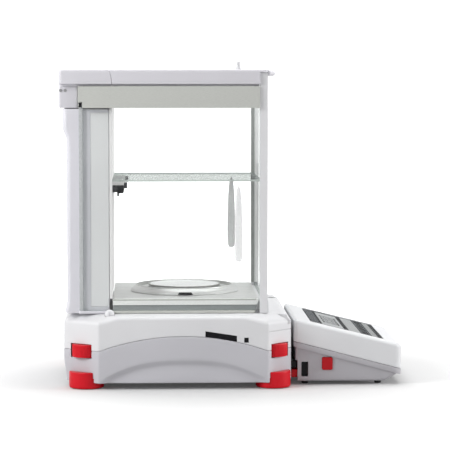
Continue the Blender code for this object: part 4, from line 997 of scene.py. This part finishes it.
def levelling_feet():
    ribs, rib_depth, high_enough = 60, 0.00045, 0.03
    bore_gap, bore_low, pad_edge = 0.0004, 0.0032, 0.0004
    wheel_low, wheel_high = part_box("levelling_wheel_front_left")

    def ripple(angle, radius):
        if radius < WHEEL_RADIUS - 0.0002:
            return 0.0
        return -rib_depth * (0.5 + 0.5 * cos(ribs * angle)) ** 2

    for name, axis, middle, outward in foot_corners():
        wheel = new_object(f"thumb_wheel_{name}", turned(wheel_profile(wheel_low.z, wheel_high.z),
                                                         axis, ribs * 8, ripple))
        stand_in(smooth(wheel, 40), RED, "red_plastic", f"levelling_wheel_{name}")

        low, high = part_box(f"foot_{name}")
        shoe = new_object(f"shoe_{name}", turned(shoe_profile(low.z, high.z), axis, 96))
        across = Vector((-outward.y, outward.x))
        edge = middle + GAP * outward
        reach = 2 * FOOT_RADIUS
        corners = [edge + reach * across, edge - reach * across,
                   edge - reach * (across + 2 * outward), edge + reach * (across - 2 * outward)]
        cut(shoe, prism([tuple(p) for p in corners], FOOT_STEP_Z, high_enough),
            cylinder(axis, SPINDLE_RADIUS + bore_gap, bore_low, high_enough))
        stand_in(bevel(shoe, 0.0006, 3), RED, "red_plastic", f"foot_{name}")
        profile = [(0.0, low.z + PAD_DEPTH), (0.0, low.z), (PAD_RADIUS - pad_edge, low.z),
                   (PAD_RADIUS, low.z + pad_edge), (PAD_RADIUS, low.z + PAD_DEPTH)]
        pad = new_object(f"shoe_pad_{name}", turned(profile, axis, 64))
        trim(smooth(pad), RUBBER, "rubber", f"foot_{name}")


def dock():
    soften("dock_connector", BLACK, "black_plastic", 0.0008)
    soften("dock_latch", RED, "red_plastic", 0.0012)


def latches():
    """Domed knobs with a coin slot, beside each side door's rear end."""
    dome = ((0.0, 1.0), (0.45, 1.0), (0.65, 0.97), (0.82, 0.88), (0.93, 0.72), (0.99, 0.45),
            (1.0, 0.2))
    slot_depth, slot_half, slot_reach = 0.0009, 0.0005, 0.0034
    for side, sign in SIDES:
        x, _, z = spans(f"latch_{side}")
        centre_x, centre_z, radius = sum(x) / 2, sum(z) / 2, (x[1] - x[0]) / 2
        inner, outer = inner_outer(f"latch_{side}", sign)
        rings = [[(u, inner + (outer - inner) * share, w)
                  for u, w in circle((centre_x, centre_z), radius * reach, 48)]
                 for share, reach in dome]
        knob = new_object(f"latch_knob_{side}", skin(rings))
        slot = sorted((outer - sign * slot_depth, outer + sign * 0.003))
        cut(knob, block((centre_x - slot_half, centre_x + slot_half), slot,
                        (centre_z - slot_reach, centre_z + slot_reach)))
        stand_in(smooth(knob, 35), MILKY, "milky_plastic", f"latch_{side}")


def level_gauge():
    """Round bubble level: bezel, domed window, liquid and bubble."""
    low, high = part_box("level_vial")
    centre, radius = round_box("level_vial")
    top, lip, well = high.z, radius - 0.0018, 0.0016
    bezel = [(radius, low.z), (radius, top - 0.0006), (radius - 0.0004, top - 0.0001),
             (radius - 0.0012, top), (lip, top - 0.0005), (lip, top - well), (0.0, top - well),
             (0.0, low.z)]
    case = new_object("level_case", turned(bezel, centre, 72))
    stand_in(smooth(case), DARK, "clear_glass", "level_vial")
    inner = radius - 0.0021
    details = (
        ("level_liquid", 64, 32, LIQUID, "milky_plastic",
         ((0.0, 0.0015), (inner, 0.0015), (inner, 0.0011), (0.0, 0.0011))),
        ("level_ring", 64, 0, BLACK, "black_plastic",
         ((0.0030, 0.0010), (0.0034, 0.0010), (0.0034, 0.0009), (0.0030, 0.0009))),
        ("level_bubble", 48, 60, GLASS, "clear_glass",
         ((0.0, 0.0010), (0.0022, 0.0010), (0.0019, 0.0007), (0.0010, 0.0005), (0.0, 0.00045))),
        ("level_window", 64, 32, GLASS, "clear_glass",
         ((0.0, 0.0004), (inner, 0.0004), (inner, 0.0002), (0.0, 0.00005))),
    )
    for name, steps, angle, finish, slot, section in details:
        profile = [(reach, top - depth) for reach, depth in section]
        trim(smooth(new_object(name, turned(profile, centre, steps)), angle), finish, slot)


# ---------------------------------------------------------------- chamber

def chamber_floor():
    x, y, z = spans("floor_plate")
    made = new_object("floor_tray", rounded_box(x, y, z, 0.0015, 0.0004))
    cut(made, cylinder((PAN_X, 0.0), 0.0085, 0.09, 0.11))
    stand_in(smooth(made), STEEL, "stainless_steel", "floor_plate")
    groove_z, ledge_z = 0.0864, 0.0921

    def faces_out(face):
        return abs(face.normal.y) > 0.5 or abs(face.normal.z) > 0.5

    for side, sign in SIDES:
        rail = soften(f"bottom_rail_{side}", RAIL, "rail_metal", 0.0005, 2)
        # Painted light on the rail faces above the ledge, painted shade on the groove faces between
        # groove and ledge.
        paint(rail, RAIL_PAINTED_LIGHT, lambda face: faces_out(face) and face.center.z > ledge_z)
        paint(rail, RAIL_PAINTED_SHADE, lambda face: faces_out(face) and groove_z < face.center.z <= ledge_z)
        edge = new_object(f"floor_tray_edge_{side}", block(
            (x[0] + 0.0004, x[1] - 0.0030), aside(sign, 0.0952, 0.0955), (0.0972, 0.0988)))
        trim(edge, RAIL, "rail_metal")


def pan_distance(face):
    """Distance of a face's middle from the pan's axis."""
    return hypot(face.center.x - PAN_X, face.center.y)


def draught_ring():
    low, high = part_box("draft_ring")
    outer, rim, hole = (high.x - low.x) / 2, 0.0550, 0.0450
    profile = [(outer, low.z), (outer, low.z + 0.0007), (outer - 0.0004, low.z + 0.0011)]
    for t in [i / 10 for i in range(1, 10)]:
        bulge = 0.0016 * sin(pi * t) * (1 - t)
        profile.append((outer - (outer - rim) * t,
                        low.z + 0.0011 + (high.z - low.z - 0.0016) * t + bulge))
    profile += [(rim + 0.0006, high.z - 0.0002), (rim - 0.0002, high.z),
                (rim - 0.0012, high.z - 0.0003), (0.0515, 0.1046), (0.0500, 0.1036),
                (0.0475, 0.1029), (hole + 0.0004, 0.1026), (hole, 0.1022), (hole, 0.1016),
                (hole + 0.0004, 0.1013), (0.0480, 0.1016), (0.0505, 0.1024), (0.0535, 0.1044),
                (outer - 0.0022, low.z)]
    ring = new_object("draught_ring", turned(profile, (PAN_X, 0.0), 160))
    cut(ring, notch(0.0095, 0.0070, low.z - 0.001, low.z + 0.0032, -0.066, -0.050))
    stand_in(smooth(ring, 30), RING_STEEL, "polished_steel", "draft_ring")

    def inner_slope(face):
        inward = face.normal.x * (face.center.x - PAN_X) + face.normal.y * face.center.y < 0
        return inward and 0.0490 < pan_distance(face) < rim - 0.0002 and face.center.z > 0.1035

    # Painted shade on the ring's inner slope, round the pan.
    paint(ring, RIM_PAINTED_SHADE, inner_slope)
    # A black block just inside the finger notch: painted shade for the dark inside of the opening.
    notch_shade = new_object("ring_notch_painted_shade", notch(0.0085, 0.0068, low.z + 0.0002, low.z + 0.0030,
                                                   -0.0590, -0.0575))
    trim(notch_shade, BLACK, "black_plastic", "ring")


def notch(low_half, high_half, low_z, high_z, low_y, high_y):
    """The ring's finger notch, narrower at its top."""
    return prism([(PAN_X - low_half, low_z), (PAN_X + low_half, low_z),
                  (PAN_X + high_half, high_z), (PAN_X - high_half, high_z)], low_y, high_y, "Y")


def weighing_pan():
    low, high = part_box("weighing_pan")
    radius = (high.x - low.x) / 2
    hub, stem, seat, dish = 0.0070, 0.0043, 0.1023, 0.10665
    profile = [(0.0, dish), (radius - 0.0034, dish), (radius - 0.0026, 0.1068),
               (radius - 0.0019, 0.1072), (radius - 0.0012, high.z - 0.00005),
               (radius - 0.0006, high.z), (radius - 0.0001, high.z - 0.0003),
               (radius, high.z - 0.0008), (radius - 0.0002, 0.1058), (radius - 0.0010, 0.1055),
               (0.0300, 0.1050), (hub + 0.0015, 0.1047), (hub, 0.1040), (hub, low.z + 0.0004),
               (hub - 0.0004, low.z), (stem, low.z), (stem, seat), (0.0, seat)]
    pan = new_object("weighing_pan_dish", turned(profile, (PAN_X, 0.0), 160))
    stand_in(smooth(pan, 30), PAN_STEEL, "polished_steel", "weighing_pan")
    # Painted shade along the pan's rim.
    paint(pan, RIM_PAINTED_SHADE, lambda face: pan_distance(face) > radius - 0.0018)


def rear_wall():
    """Liner of the rear wall, and the ribbed ioniser bar on it."""
    soften("rear_wall", LINER, "milky_plastic", 0.0006)
    soften("ioniser_bar", DARK, "black_plastic", 0.0004, 2, "ioniser_case")
    face_x, end_y, foot_z, side_top_z, front_top_z = -0.1209, 0.0790, 0.2163, 0.2236, 0.2208
    ribs = []
    for _, sign in SIDES:
        for i in range(4):
            x = face_x - 0.0010 - 0.0015 * i
            ribs.append(block((x - 0.0004, x + 0.0004), aside(sign, end_y - 0.0008, end_y + 0.0006),
                              (foot_z, side_top_z)))
    first_y, run, count = -0.0760, 0.1520, 40
    for i in range(count):
        y = first_y + run * i / (count - 1)
        ribs.append(block((face_x - 0.0006, face_x + 0.0005), (y - 0.0006, y + 0.0006),
                          (foot_z, front_top_z)))
    bars = joined("ioniser_ribs", [new_object("rib", rib) for rib in ribs])
    trim(bevel(bars, 0.00015, 1), BLACK, "black_plastic")


def glass_block(name, node, thin, edge_finish, face_finish, rear_band=0.0):
    """A glass sheet in a node's box, whose ground edges have their own finish."""
    x, y, z = spans(node)
    made = new_object(name, block((x[0] + rear_band, x[1]), y, z))
    stand_in(bevel(made, 0.0003, 2), face_finish, "clear_glass", node)
    index = "XYZ".index(thin)
    paint(made, edge_finish, lambda face: abs(face.normal[index]) <= 0.9)


def glazing():
    glass_block("glass_shelf", "shelf", "Z", SHELF_EDGE, SHELF_GLASS)
    glass_block("front_pane", "front_glass", "X", GLASS_EDGE, GLASS)
    glass_block("top_door_pane", "top_door", "Z", GLASS_EDGE, GLASS)
    band_width, band_gap = 0.0042, 0.0001
    for side, _ in SIDES:
        node = f"{side}_door_glass"
        glass_block(f"{side}_door_pane", node, "Y", GLASS_EDGE, GLASS, band_width)
        x, y, z = spans(node)
        band = new_object(f"{side}_door_band", block((x[0], x[0] + band_width - band_gap), y, z))
        trim(bevel(band, 0.0003, 2), GLASS_BAND, "clear_glass", f"{side}_door")


# ---------------------------------------------------------------- draught shield

def column():
    """Rear column: a waisted case on a foot flange, with a panel let into each side."""
    low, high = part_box("rear_column")
    half, waist_x = COLUMN_HALF, low.x + 0.0040
    head_low, head_high = 0.2760, 0.2890
    foot_flare, foot_high = 0.0022, 0.0985
    top = high.z - 0.0006

    def rear_x(z):
        head = ease((z - head_low) / (head_high - head_low))
        foot = ease((foot_high - z) / (foot_high - low.z))
        return waist_x - (waist_x - low.x) * head - foot_flare * foot

    rows = [(0.0006, low.z)]
    rows += [(0.0, low.z + (foot_high - low.z) * k / 6) for k in range(1, 7)]
    rows += [(0.0, head_low + (head_high - head_low) * k / 10) for k in range(11)]
    rows += [(0.0, top - 0.0012), (0.0003, top - 0.0004), (0.0009, top)]
    rings = [flat_ring(rectangle((rear_x(z), COLUMN_FRONT_X), (-half, half), 0.005, 0.0015),
                       inset, z) for inset, z in rows]
    made = new_object("rear_column_case", skin(rings))
    fuse(made, rounded_box((-0.1700, high.x), (low.y, high.y), (low.z, 0.0863), 0.002, 0.0005))
    panel_rear_x, panel_low, panel_high, depth, margin = -0.1570, 0.0904, top - 0.0040, 0.0007, 0.0004
    cut(made, *[block((panel_rear_x, COLUMN_FRONT_X + 0.01), aside(sign, half - depth, 0.0990),
                      (panel_low, panel_high)) for _, sign in SIDES])
    stand_in(smooth(made, 30), COLUMN, "column_shell", "rear_column")
    for side, sign in SIDES:
        plate = new_object(f"column_panel_{side}", block(
            (panel_rear_x + margin, COLUMN_FRONT_X - margin), aside(sign, half - depth, half),
            (panel_low + margin, panel_high - margin)))
        trim(bevel(plate, 0.0002, 2), COLUMN_PANEL, "column_shell")


def column_screws():
    """Cross-head screws in the head of the column."""
    radius, head, slot_depth, slot_reach, slot_half, z = 0.0017, 0.0006, 0.0003, 0.0012, 0.0002, 0.3303
    made = []
    for _, sign in SIDES:
        for x in (-0.1893, -0.1842):
            screw = new_object("screw", cylinder((x, z), radius, *aside(
                sign, COLUMN_HALF, COLUMN_HALF + head), "Y", 32))
            slot = aside(sign, COLUMN_HALF + slot_depth, COLUMN_HALF + 0.001)
            cut(screw, *[block((x - reach_x, x + reach_x), slot, (z - reach_z, z + reach_z))
                         for reach_x, reach_z in ((slot_reach, slot_half), (slot_half, slot_reach))])
            made.append(screw)
    trim(smooth(joined("column_screw_heads", made), 30), SCREW, "alloy")


def cover_outline(z, front):
    """Corners of one of the two covers at a height, split at the curved seam."""
    cap_low, cap_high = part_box("top_rear_cap")
    t = clamp((z - COVER_FOOT_Z) / (cap_high.z - COVER_FOOT_Z))
    seam_x = COVER_SEAM_X - COVER_SEAM_BOW * t ** 2
    across = (-cap_high.y, cap_high.y)
    if front:
        return rectangle((seam_x + GAP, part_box("post_left")[1].x), across, 0.0005, 0.004)
    return rectangle((cap_low.x, seam_x), across, 0.004, 0.0005)


def cover_body(name, front):
    """A cover with rounded top and bottom edges."""
    low_z, high_z = COVER_FOOT_Z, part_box("top_rear_cap")[1].z
    rows = [(inset, height(0.0)) for inset, height in bottom_edge(0.0, 0.0008, low_z)]
    rows += [(0.0, low_z + (high_z - low_z) * share) for share in (0.35, 0.6)]
    rows += [(inset, height(0.0)) for inset, height in top_edge(0.0, 0.0024, high_z, 6)]
    return new_object(name, skin([flat_ring(cover_outline(z, front), inset, z)
                                  for inset, z in rows]))


def cover_rails(rear_x, front_x):
    """Rails under a cover, above the side headers."""
    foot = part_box("header_left")[1].z + GAP
    return [block((rear_x, front_x), aside(sign, COVER_RAIL_NEAR_Y, COVER_RAIL_FAR_Y),
                  (foot, COVER_RAIL_TOP_Z)) for _, sign in SIDES]


def door_slot():
    """Slot that the top door slides in."""
    low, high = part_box("top_door")
    margin = 2 * GAP
    return block((CAD_LOW.x - 0.02, high.x + 0.0015), (low.y - margin, high.y + margin),
                 (low.z - margin, high.z + margin))


def rear_cover():
    cap = cover_body("top_cover_rear", False)
    low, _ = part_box("top_rear_cap")
    bracket = rounded_box((low.x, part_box("header_left")[0].x - GAP), (-COLUMN_HALF, COLUMN_HALF),
                          (low.z, COVER_RAIL_TOP_Z), 0.0020, 0.0008)
    fuse(cap, bracket, *cover_rails(low.x + 0.004, -0.1332))
    cut(cap, door_slot())
    stand_in(smooth(cap, 32), COVER, "cover_shell", "top_rear_cap")


def front_lip():
    """Thin bowed lip along the front of the front cover."""
    nose, corner, half, rear_x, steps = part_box("top_frame")[1].x, 0.0424, 0.1000, 0.0290, 24
    rings = []
    for inset, z in ((0.0030, 0.3462), (0.0014, 0.3468), (0.0004, 0.3478), (0.0, 0.3490),
                     (0.0002, 0.3503), (0.0010, 0.3515), (0.0026, 0.3524), (0.0060, 0.3531),
                     (0.0100, 0.3534)):
        across = [-half + 2 * half * i / steps for i in range(steps + 1)]
        bow = [(nose - (nose - corner) * (y / half) ** 2 - inset, y, z) for y in across]
        rings.append([(rear_x, -half, z), *bow, (rear_x, half, z)])
    return skin(rings)


def front_cover():
    made = cover_body("top_cover_front", True)
    through = (0.33, 0.36)
    fuse(made, front_lip(), *cover_rails(-0.1326, 0.030))
    sockets = []
    for side, sign in SIDES:
        low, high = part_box(f"post_{side}")
        sockets.append(block((low.x - 0.0001, high.x + GAP), aside(sign, POST_FACE_Y - GAP, 0.110),
                             (through[0], high.z + GAP)))
    cut(made, rounded_box((-0.1280, 0.0240), (-0.0850, 0.0850), through, 0.004, 0.0001),
        door_slot(), *sockets)
    stand_in(smooth(made, 32), COVER, "cover_shell", "top_frame")


def headers_and_posts():
    """Side headers, and posts with a strip of painted shade and a strip of painted light on their
    inner faces.
    """
    for side, _ in SIDES:
        soften(f"header_{side}", RAIL, "rail_metal", 0.0009)
        soften(f"post_{side}", WHITE, "upper_shell", 0.0011)
    strip_z = (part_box("floor_plate")[1].z + 0.0005, 0.3098)
    for side, sign in SIDES:
        low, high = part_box(f"post_{side}")
        face = aside(sign, POST_FACE_Y - 0.0004, POST_FACE_Y)
        # A dark strip of painted shade at the rear of each post's inner face, and a pale strip of
        # painted light in front of it.
        strip = block((low.x + 0.0001, low.x + 0.0034), face, strip_z)
        trim(new_object(f"post_painted_shade_strip_{side}", strip), POST_SHADE_PAINT, "rubber")
        lit_strip = block((low.x + 0.0037, high.x - 0.0012), face, strip_z)
        trim(new_object(f"post_liner_{side}", lit_strip), POST_LIGHT_PAINT, "upper_shell")


def teardrop(low, high, inset):
    """Outline of a door handle moved inwards: pointed at the top, widest low down."""
    middle = (low.x + high.x) / 2
    half_width = (high.x - low.x) / 2 - inset
    bottom, top = low.z + inset, high.z - inset
    widest, steps, foot_bluntness, tip_bluntness = low.z + 0.0153, 20, 0.38, 0.4
    right = []
    for i in range(1, steps + 1):
        angle = -pi / 2 + pi / 2 * i / steps
        right.append((half_width * max(0.0, cos(angle)) ** foot_bluntness,
                      widest + (widest - bottom) * sin(angle)))
    for t in [i / steps for i in range(1, steps)]:
        right.append((half_width * (1 - t * t) ** tip_bluntness, widest + (top - widest) * t))
    return ([(middle + x, z) for x, z in right] + [(middle, top)]
            + [(middle - x, z) for x, z in reversed(right)] + [(middle, bottom)])


def door_grip(side, sign):
    """Leaf-shaped handle with a rounded outer face."""
    low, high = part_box(f"{side}_door_handle")
    inner, outer = inner_outer(f"{side}_door_handle", sign)
    rings = []
    for share, inset in ((0.0, 0.0), (0.5, 0.0), (0.7, 0.0002), (0.84, 0.0005),
                         (0.93, 0.0009), (0.98, 0.0014), (1.0, 0.0020)):
        y = inner + (outer - inner) * share
        rings.append([(x, y, z) for x, z in teardrop(low, high, inset)])
    grip = new_object(f"{side}_door_grip", skin(rings))
    stand_in(smooth(grip, 40), HANDLE, "milky_plastic", f"{side}_door_handle")


def door_roller(side):
    """Waisted runner at a side door's top rear corner."""
    x, y, z = spans(f"{side}_door_runner")
    middle, waist_share = (sum(x) / 2, sum(z) / 2), 0.62
    half_x, half_z = (x[1] - x[0]) / 2, (z[1] - z[0]) / 2
    waist = [(middle[0] + half_x * (waist_share + (1 - waist_share) * abs(t) ** 1.5),
              middle[1] + half_z * t) for t in [k / 6 - 1 for k in range(13)]]
    waist += [(2 * middle[0] - u, w) for u, w in reversed(waist)]
    roller = bevel(new_object(f"{side}_door_roller", prism(waist, *y, "Y")), 0.0003, 2, 40)
    stand_in(roller, BLACK, "black_plastic", f"{side}_door_runner")


def top_knob():
    """Small pull with a wide foot, a drawn-in neck and a rounded tip."""
    centre, radius = round_box("top_door_knob")
    _, _, (base, top) = spans("top_door_knob")
    profile = [(0.0, base), (radius, base), (radius, base + 0.0010), (radius - 0.0003, base + 0.0014)]
    for t in [i / 8 for i in range(1, 8)]:
        profile.append((0.0019 + (radius - 0.0022) * (1 - t) ** 2,
                        base + 0.0016 + (top - base - 0.0030) * t))
    profile += [(0.0021, top - 0.0010), (0.0019, top - 0.0004), (0.0012, top), (0.0, top)]
    knob = new_object("top_door_pull", turned(profile, centre, 64))
    stand_in(smooth(knob, 40), KNOB, "milky_plastic", "top_door_knob")


# ---------------------------------------------------------------- terminal

def terminal_top(x):
    return TERMINAL_REF[1] - (x - TERMINAL_REF[0]) * TERMINAL_SLOPE


def terminal_seam(x):
    return TERMINAL_SEAM_REAR_Z - (x - TERMINAL_LOW.x) * TERMINAL_SEAM_SLOPE


def sloped_block(x, y, bottom, top, radius):
    """A plate parallel to the terminal's top, with rounded corners in plan."""
    rows = [(0.0, level(terminal_top, bottom)), (0.0, level(terminal_top, top))]
    return shell(rectangle(x, y, radius), rows, 5, 0.05)


def inside(span, margin):
    """A (low, high) pair moved inwards by a margin."""
    return span[0] + margin, span[1] - margin


def terminal_outline():
    half = TERMINAL_HIGH.y
    return rectangle((TERMINAL_LOW.x, TERMINAL_HIGH.x), (-half, half), 0.005, 0.008)


def terminal_upper_shell():
    seam = level(terminal_seam, GAP)
    edge, rim, thickness = 0.0007, 0.0042, 0.003
    rows = [(thickness, level(terminal_seam, 0.004)), (thickness, seam)]
    rows += bottom_edge(0.0, edge, seam)
    rows += wall(0.0, level(terminal_seam, GAP + edge), level(terminal_top, -rim), 4)
    rows += top_edge(0.0, rim, terminal_top, 7)[1:]
    upper = new_object("terminal_top_shell", shell(terminal_outline(), rows, 7, 0.006))
    x, y, _ = spans("touch_glass")
    cut(upper, sloped_block(inside(x, -GAP), inside(y, -GAP), -0.0035, 0.01, 0.003))
    stand_in(smooth(upper, 32), TERMINAL_WHITE, "upper_shell", "terminal_upper")


def terminal_lower_shell():
    """Lower shell: a band under the seam, then walls set in that rise towards the front."""
    half, rear, floor_z = TERMINAL_HIGH.y, TERMINAL_LOW.x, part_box("terminal_lower")[0].z
    inset, foot_round, rise_x, rise, thickness = 0.0025, 0.003, 0.1720, 0.55, 0.003
    band = level(terminal_seam, -TERMINAL_BAND)

    def bottom(x):
        return max(floor_z, floor_z + (x - rise_x) * rise)

    rows = [(thickness, level(terminal_seam, -0.003)), (thickness, level(terminal_seam))]
    rows += top_edge(0.0, 0.0006, terminal_seam)[::-1]
    rows += [(0.0, level(band, 0.0006)), (0.0003, level(band, 0.0001)), (inset - 0.0003, band),
             (inset, level(band, -0.0004))]
    rows += wall(inset, level(band, -0.0004), level(bottom, foot_round), 4)
    rows += [(inset + foot_round * (1 - cos(a)), level(bottom, foot_round * (1 - sin(a))))
             for a in quarter(4)[1:]]
    lower = new_object("terminal_base_shell", shell(terminal_outline(), rows, 7, 0.006))
    step_x, step_z, cheek_x, bar_half, beyond = 0.0782, 0.0280, 0.0742, 0.0783, 0.01
    cut(lower, block((rear - beyond, step_x), (-bar_half, bar_half), (0.0, step_z)),
        block((rear - beyond, cheek_x), (-half - beyond, half + beyond), (0.0, step_z)))
    pockets = []
    for side, sign in SIDES:
        x, _, z = spans(f"release_button_{side}")
        margin = BUTTON_FLANGE - GAP
        pockets.append(rounded_box_y(inside(x, margin), aside(sign, 0.080, half + beyond),
                                     inside(z, margin), 0.0020))
        pockets.append(rounded_box_y(SLOT_X, aside(sign, SLOT_FLOOR_Y, 0.09), SLOT_Z, 0.0012))
    cut(lower, *pockets)
    stand_in(smooth(lower, 32), TERMINAL_GREY, "column_shell", "terminal_lower")
    # Black plates on the floors of the side slots: painted shade for the dark inside of the recesses.
    slot_shade_gap, slot_shade_depth = 0.0001, 0.0010
    for side, sign in SIDES:
        slot_shade = rounded_box_y(inside(SLOT_X, slot_shade_gap),
                             aside(sign, SLOT_FLOOR_Y + slot_shade_gap, SLOT_FLOOR_Y + slot_shade_depth),
                             inside(SLOT_Z, slot_shade_gap), 0.0011)
        trim(new_object(f"slot_floor_painted_shade_{side}", slot_shade), BLACK, "black_plastic", "terminal")


def screen():
    """Dark glass front with the areas of a weighing display under it."""
    x, y, _ = spans("touch_glass")
    backing = new_object("screen_backing", sloped_block(x, y, -0.0020, SCREEN_FACE, SCREEN_ROUND))
    stand_in(smooth(backing), SCREEN_BORDER, "screen_glass", "touch_glass")
    cover = new_object("screen_cover", sloped_block(inside(x, 0.0001), inside(y, 0.0001),
                                                    -0.0003, 0.0, SCREEN_ROUND))
    trim(smooth(cover), SCREEN_GLASS, "screen_glass", "terminal")
    above = SCREEN_FACE + SCREEN_LAYER
    for name, finish, rear_x, front_x, half in (
            ("screen_title_bar", SCREEN_MID, 0.0915, 0.1010, 0.0680),
            ("screen_reading_area", SCREEN_LIGHT, 0.1040, 0.1285, 0.0610),
            ("screen_key_area", SCREEN_KEYS, 0.1340, 0.1475, 0.0660),
            ("screen_soft_keys", SCREEN_MID, 0.1488, 0.1590, 0.0660),
            ("screen_status_bar", SCREEN_PALE, 0.1602, 0.1672, 0.0660)):
        area = sloped_block((rear_x, front_x), (-half, half), SCREEN_FACE, above, 0.0008)
        trim(new_object(name, area), finish, "display_module", "terminal")
    first_y, pitch, key_half = -0.0480, 0.0320, 0.0130
    keys = [sloped_block((0.1505, 0.1573), (y - key_half, y + key_half), above,
                         above + SCREEN_LAYER, 0.0010)
            for y in [first_y + pitch * i for i in range(4)]]
    caps = joined("screen_soft_key_caps", [new_object("key", key) for key in keys])
    trim(caps, SCREEN_BORDER, "display_module", "terminal")
    digits = joined("screen_digits", [new_object("bar", bar) for bar in zeros(5, above)])
    trim(digits, SCREEN_INK, "display_module", "terminal")


def zeros(count, foot):
    """Seven-segment zeros with a decimal point after the first, read from the front."""
    tall, wide, stroke, pitch, dot = 0.0190, 0.0100, 0.0020, 0.0150, 0.0022
    rear_x, gap, top, radius = 0.1068, 0.0002, foot + 0.00008, 0.0003
    bars = (((0.0, stroke), (0.0, wide)),
            ((0.0, tall / 2), (wide - stroke, wide)),
            ((tall / 2, tall), (wide - stroke, wide)),
            ((tall - stroke, tall), (0.0, wide)),
            ((tall / 2, tall), (0.0, stroke)),
            ((0.0, tall / 2), (0.0, stroke)))
    start = -pitch * count / 2
    made = []
    for left in [start + pitch * index for index in range(count)]:
        made += [sloped_block((rear_x + x[0] + gap, rear_x + x[1] - gap),
                              (left + y[0] + gap, left + y[1] - gap), foot, top, radius)
                 for x, y in bars]
    point = start + pitch - 0.0030
    made.append(sloped_block((rear_x + tall - dot, rear_x + tall), (point, point + dot), foot, top,
                             radius))
    return made


def release_button(side, sign):
    """Rounded key on a flange that stays behind the wall."""
    x, _, z = spans(f"release_button_{side}")
    inner, outer = inner_outer(f"release_button_{side}", sign)
    cap = new_object(f"release_key_{side}", rounded_box_y(
        inside(x, BUTTON_FLANGE), (inner, outer), inside(z, BUTTON_FLANGE), 0.0019))
    bevel(cap, 0.0006, 3, 40)
    fuse(cap, rounded_box_y(x, (inner, inner + sign * 0.0028), z, 0.0008))
    stand_in(smooth(cap, 35), RED_DARK, "red_plastic", f"release_button_{side}")


def terminal_foot(node, name):
    """Round rubber foot with a chamfered sole."""
    centre, radius = round_box(node)
    _, _, (low, high) = spans(node)
    profile = [(0.0, low), (radius - 0.0007, low), (radius - 0.0002, low + 0.0003),
               (radius, low + 0.0009), (radius, high), (0.0, high)]
    stand_in(smooth(new_object(name, turned(profile, centre, 48)), 35), RUBBER, "rubber", node)


def insides():
    """Finishes for the CAD nodes that stay inside the housings."""
    finishes = {
        "load_cell_frame": ALLOY, "cell_magnet": SCREW, "cell_beam": ALLOY, "pan_stem": ALLOY,
        "main_board": BOARD, "calibration_weight": SCREW, "calibration_cam": MILKY,
        "calibration_motor": BLACK, "lcd_module": DARK, "terminal_board": BOARD,
    }
    for name, finish in finishes.items():
        dress(NODES[name], finish)


# ---------------------------------------------------------------- studio

def studio_floor():
    """Floor that glows, for the camera only, with distance from the balance."""
    floor = new_object("floor", block((-6.0, 6.0), (-6.0, 6.0), (-0.02, -0.0001)))
    made, tree, shader = blank("studio_floor")
    glow = spread(tree, length(tree, own_metres(tree)), NEAR_GLOW, FAR_GLOW, GLOW_START, GLOW_END)
    path = put(tree, "ShaderNodeLightPath")
    seen = put(tree, "ShaderNodeMath", {0: glow, 1: path.outputs["Is Camera Ray"]},
               operation="MULTIPLY")
    feed(shader, {
        "Base Color": tones(tree, noise(tree, 3, 2), (0.59, 0.59, 0.59, 1), (0.61, 0.61, 0.61, 1)),
        "Roughness": 0.9,
        "Specular IOR Level": 0.0,
        "Emission Color": (1.0, 1.0, 1.0, 1.0),
        "Emission Strength": seen.outputs["Value"],
    })
    dress(floor, made)


def studio():
    """White sweep: the backdrop stays white while the light on the balance is softer."""
    world = bpy.data.worlds.new("studio")
    bpy.context.scene.world = world
    world.use_nodes = True
    tree = world.node_tree
    path = put(tree, "ShaderNodeLightPath")
    mirrored = spread(tree, path.outputs["Is Glossy Ray"], AMBIENT, MIRRORED, 0.0, 1.0)
    strength = spread(tree, path.outputs["Is Camera Ray"], mirrored, BACKDROP, 0.0, 1.0)
    feed(tree.nodes["Background"], {"Color": (1.0, 1.0, 1.0, 1.0), "Strength": strength})

    for name, spot, aim, size, power in SOFTBOXES:
        lamp = bpy.data.lights.new(name, "AREA")
        lamp.shape = "RECTANGLE"
        lamp.size = lamp.size_y = size
        lamp.energy = power
        made = bpy.data.objects.new(name, lamp)
        made.location = spot
        made.rotation_euler = (Vector(aim) - Vector(spot)).to_track_quat("-Z", "Y").to_euler()
        bpy.context.scene.collection.objects.link(made)
    bpy.context.scene.view_settings.view_transform = "Standard"


def camera():
    """Level telephoto view of the left side, a little above the top cover."""
    lens = bpy.data.cameras.new("camera")
    lens.lens = FOCAL_LENGTH
    lens.sensor_width = SENSOR_WIDTH
    made = bpy.data.objects.new("camera", lens)
    made.location = CAMERA_PLACE
    made.rotation_euler = (radians(90 - CAMERA_DIP), 0.0, radians(CAMERA_TURN))
    bpy.context.scene.collection.objects.link(made)
    bpy.context.scene.camera = made


camera()
studio_floor()
studio()
lower_housing()
upper_housing()
side_ports()
rear_ports()
levelling_feet()
dock()
latches()
level_gauge()
chamber_floor()
draught_ring()
weighing_pan()
rear_wall()
glazing()
column()
rear_cover()
front_cover()
headers_and_posts()
for side_name, side_sign in SIDES:
    door_grip(side_name, side_sign)
    door_roller(side_name)
top_knob()
terminal_upper_shell()
terminal_lower_shell()
screen()
for side_name, side_sign in SIDES:
    release_button(side_name, side_sign)
    for end_name in ENDS:
        terminal_foot(f"terminal_foot_{end_name}_{side_name}", f"rubber_foot_{end_name}_{side_name}")
column_screws()
insides()
